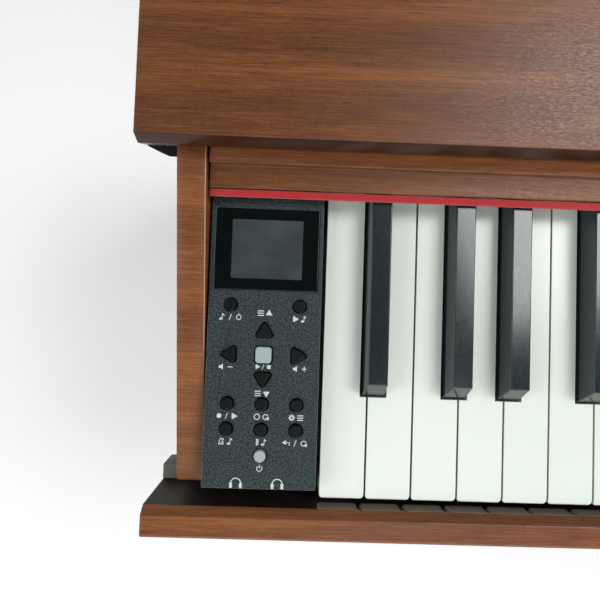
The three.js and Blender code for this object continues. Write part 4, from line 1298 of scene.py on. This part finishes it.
class PIANO_OT_marks(bpy.types.Operator):
    """Print the small marks beside the buttons"""

    bl_idname = "piano.marks"
    bl_label = "Printed marks"

    def execute(self, context):
        bottom, top = (PANEL_TOP + side * sizes().print_height for side in (-1, 1))
        meshes = [sheet_of("mark", shape, bottom, top) for shape in printed_shapes()]
        piece = linked("printed_marks", joined("printed_marks", *meshes), "marks")
        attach(piece, body_of("control_panel"))
        return {"FINISHED"}


# Inside, underside and back

PLAIN_FINISHES = {
    "inlet_plate": "black plastic",
    "headphone_box": "black plastic",
    "key_chassis": "steel",
    "panel_board": "circuit",
    "main_board": "circuit",
    "left_speaker": "cone",
    "right_speaker": "cone",
}
SCREW_COLUMNS = 9
BACK_MARGIN = 9.0 * MM
KEYBED_MARGIN = 60.0 * MM
KEYBED_ROWS = (40.0 * MM, 110.0 * MM)


def spread(start, end, margin):
    """Places that stand evenly between two margins."""
    step = (end - start - margin * 2) / (SCREW_COLUMNS - 1)
    return [start + margin + step * i for i in range(SCREW_COLUMNS)]


class PIANO_OT_fittings(bpy.types.Operator):
    """Give the inner parts their finishes and add the screws"""

    bl_idname = "piano.fittings"
    bl_label = "Fittings"

    def execute(self, context):
        for node, coat in PLAIN_FINISHES.items():
            recoated(node, coat)
        tree = screw_tree()
        lowest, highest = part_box("back_panel")
        rows = (lowest.z + BACK_MARGIN, highest.z - BACK_MARGIN)
        holes = [(x, highest.y, z) for x in spread(lowest.x, highest.x, BACK_MARGIN) for z in rows]
        self.screws(tree, "back_screws", holes, (-math.pi / 2, 0.0, 0.0))
        lowest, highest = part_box("keybed")
        rows = (lowest.y + KEYBED_ROWS[0], highest.y - KEYBED_ROWS[1])
        holes = [(x, y, lowest.z) for x in spread(lowest.x, highest.x, KEYBED_MARGIN) for y in rows]
        self.screws(tree, "keybed_screws", holes, (math.pi, 0.0, 0.0))
        return {"FINISHED"}

    def screws(self, tree, name, holes, turn):
        coat = "black plastic"
        mesh = tree.applied(name, holes, Radius=sizes().screw_radius, Turn=turn, Finish=finish(coat))
        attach(smooth(linked(name, mesh, coat)), body_of("keybed"))


# Stage

FLOOR_REACH = 6.0
# Each lamp's place, the point it faces, its size and its power
LAMPS = {
    "right": ((0.52, 0.42, 2.4), (-0.5, -0.05, 0.75), (0.9, 0.9), 28.0),
    "left": ((-2.8, -0.4, 2.2), (-0.5, -0.1, 0.74), (1.8, 1.8), 32.0),
    "front": ((-0.3, -2.5, 1.8), (-0.5, -0.1, 0.74), (2.4, 1.2), 40.0),
    "near": ((-0.15, -0.85, 2.5), (-0.5, -0.15, 0.74), (1.0, 0.6), 5.0),
}
CAMERA_PLACE = (-0.6090647, -0.0977422, 0.9664705)
CAMERA_TURN = (2.04550, -0.94410, 1.97195)
CAMERA_LENS = 27.0
CAMERA_NEAR = 0.02
ROOM_TINT = (0.95, 0.98, 1.0, 1.0)


class PIANO_OT_stage(bpy.types.Operator):
    """Build the floor, the lights and the camera"""

    bl_idname = "piano.stage"
    bl_label = "Stage"

    def execute(self, context):
        edit = bmesh.new()
        bmesh.ops.create_grid(edit, x_segments=8, y_segments=8, size=FLOOR_REACH)
        floor = linked("floor", mesh_of("floor", edit), "floor")
        context.scene.world = self.room()
        for name, settings in LAMPS.items():
            self.light(name, *settings)
        self.camera()
        context.scene.view_settings.view_transform = "Standard"
        return {"FINISHED"}

    def room(self):
        """A pale room that is dim overhead, so that glossy black pieces stay black from above."""
        world = bpy.data.worlds.new("room")
        world.use_nodes = True
        nodes = world.node_tree.nodes
        background = nodes["Background"]
        fill(background, Color=ROOM_TINT)
        heading = nodes.new("ShaderNodeTexCoord")
        parts = nodes.new("ShaderNodeSeparateXYZ")
        dimmed = nodes.new("ShaderNodeMapRange")
        fill(dimmed, From_Min=0.3, From_Max=0.85, To_Min=0.62, To_Max=0.06)
        links = world.node_tree.links
        links.new(heading.outputs["Generated"], parts.inputs["Vector"])
        links.new(parts.outputs["Z"], dimmed.inputs["Value"])
        links.new(dimmed.outputs["Result"], background.inputs["Strength"])
        return world

    def light(self, name, place, target, size, power):
        lamp = bpy.data.lights.new(name, "AREA")
        lamp.shape = "RECTANGLE"
        lamp.size, lamp.size_y = size
        lamp.energy = power
        holder = added_object(name, lamp)
        holder.location = place
        holder.rotation_euler = (Vector(target) - Vector(place)).to_track_quat("-Z", "Y").to_euler()

    def camera(self):
        lens = bpy.data.cameras.new("camera")
        lens.lens = CAMERA_LENS
        lens.clip_start = CAMERA_NEAR
        holder = added_object("camera", lens)
        holder.location = CAMERA_PLACE
        holder.rotation_euler = tuple(math.radians(turn) for turn in CAMERA_TURN)
        bpy.context.scene.camera = holder


STEPS = (
    PIANO_OT_stage,
    PIANO_OT_cabinet,
    PIANO_OT_stand,
    PIANO_OT_pedals,
    PIANO_OT_music_rest,
    PIANO_OT_keys,
    PIANO_OT_felt,
    PIANO_OT_panel,
    PIANO_OT_marks,
    PIANO_OT_fittings,
)


class PIANO_PT_sidebar(bpy.types.Panel):
    """Sizes, colours and steps of the piano"""

    bl_idname = "PIANO_PT_sidebar"
    bl_label = "Digital piano"
    bl_space_type = "VIEW_3D"
    bl_region_type = "UI"
    bl_category = "Piano"

    def draw(self, context):
        column = self.layout.column()
        for group in (context.scene.piano_sizes, context.scene.piano_colours):
            for name in group.__annotations__:
                column.prop(group, name)
        for step in STEPS:
            column.operator(step.bl_idname)


CLASSES = (PianoSizes, PianoColours, *STEPS, PIANO_PT_sidebar)


def register():
    for entry in CLASSES:
        bpy.utils.register_class(entry)
    bpy.types.Scene.piano_sizes = bpy.props.PointerProperty(type=PianoSizes)
    bpy.types.Scene.piano_colours = bpy.props.PointerProperty(type=PianoColours)


def unregister():
    del bpy.types.Scene.piano_colours
    del bpy.types.Scene.piano_sizes
    for entry in reversed(CLASSES):
        bpy.utils.unregister_class(entry)


def main():
    register()
    for step in STEPS:
        group, name = step.bl_idname.split(".")
        getattr(getattr(bpy.ops, group), name)()


if __name__ == "__main__":
    main()
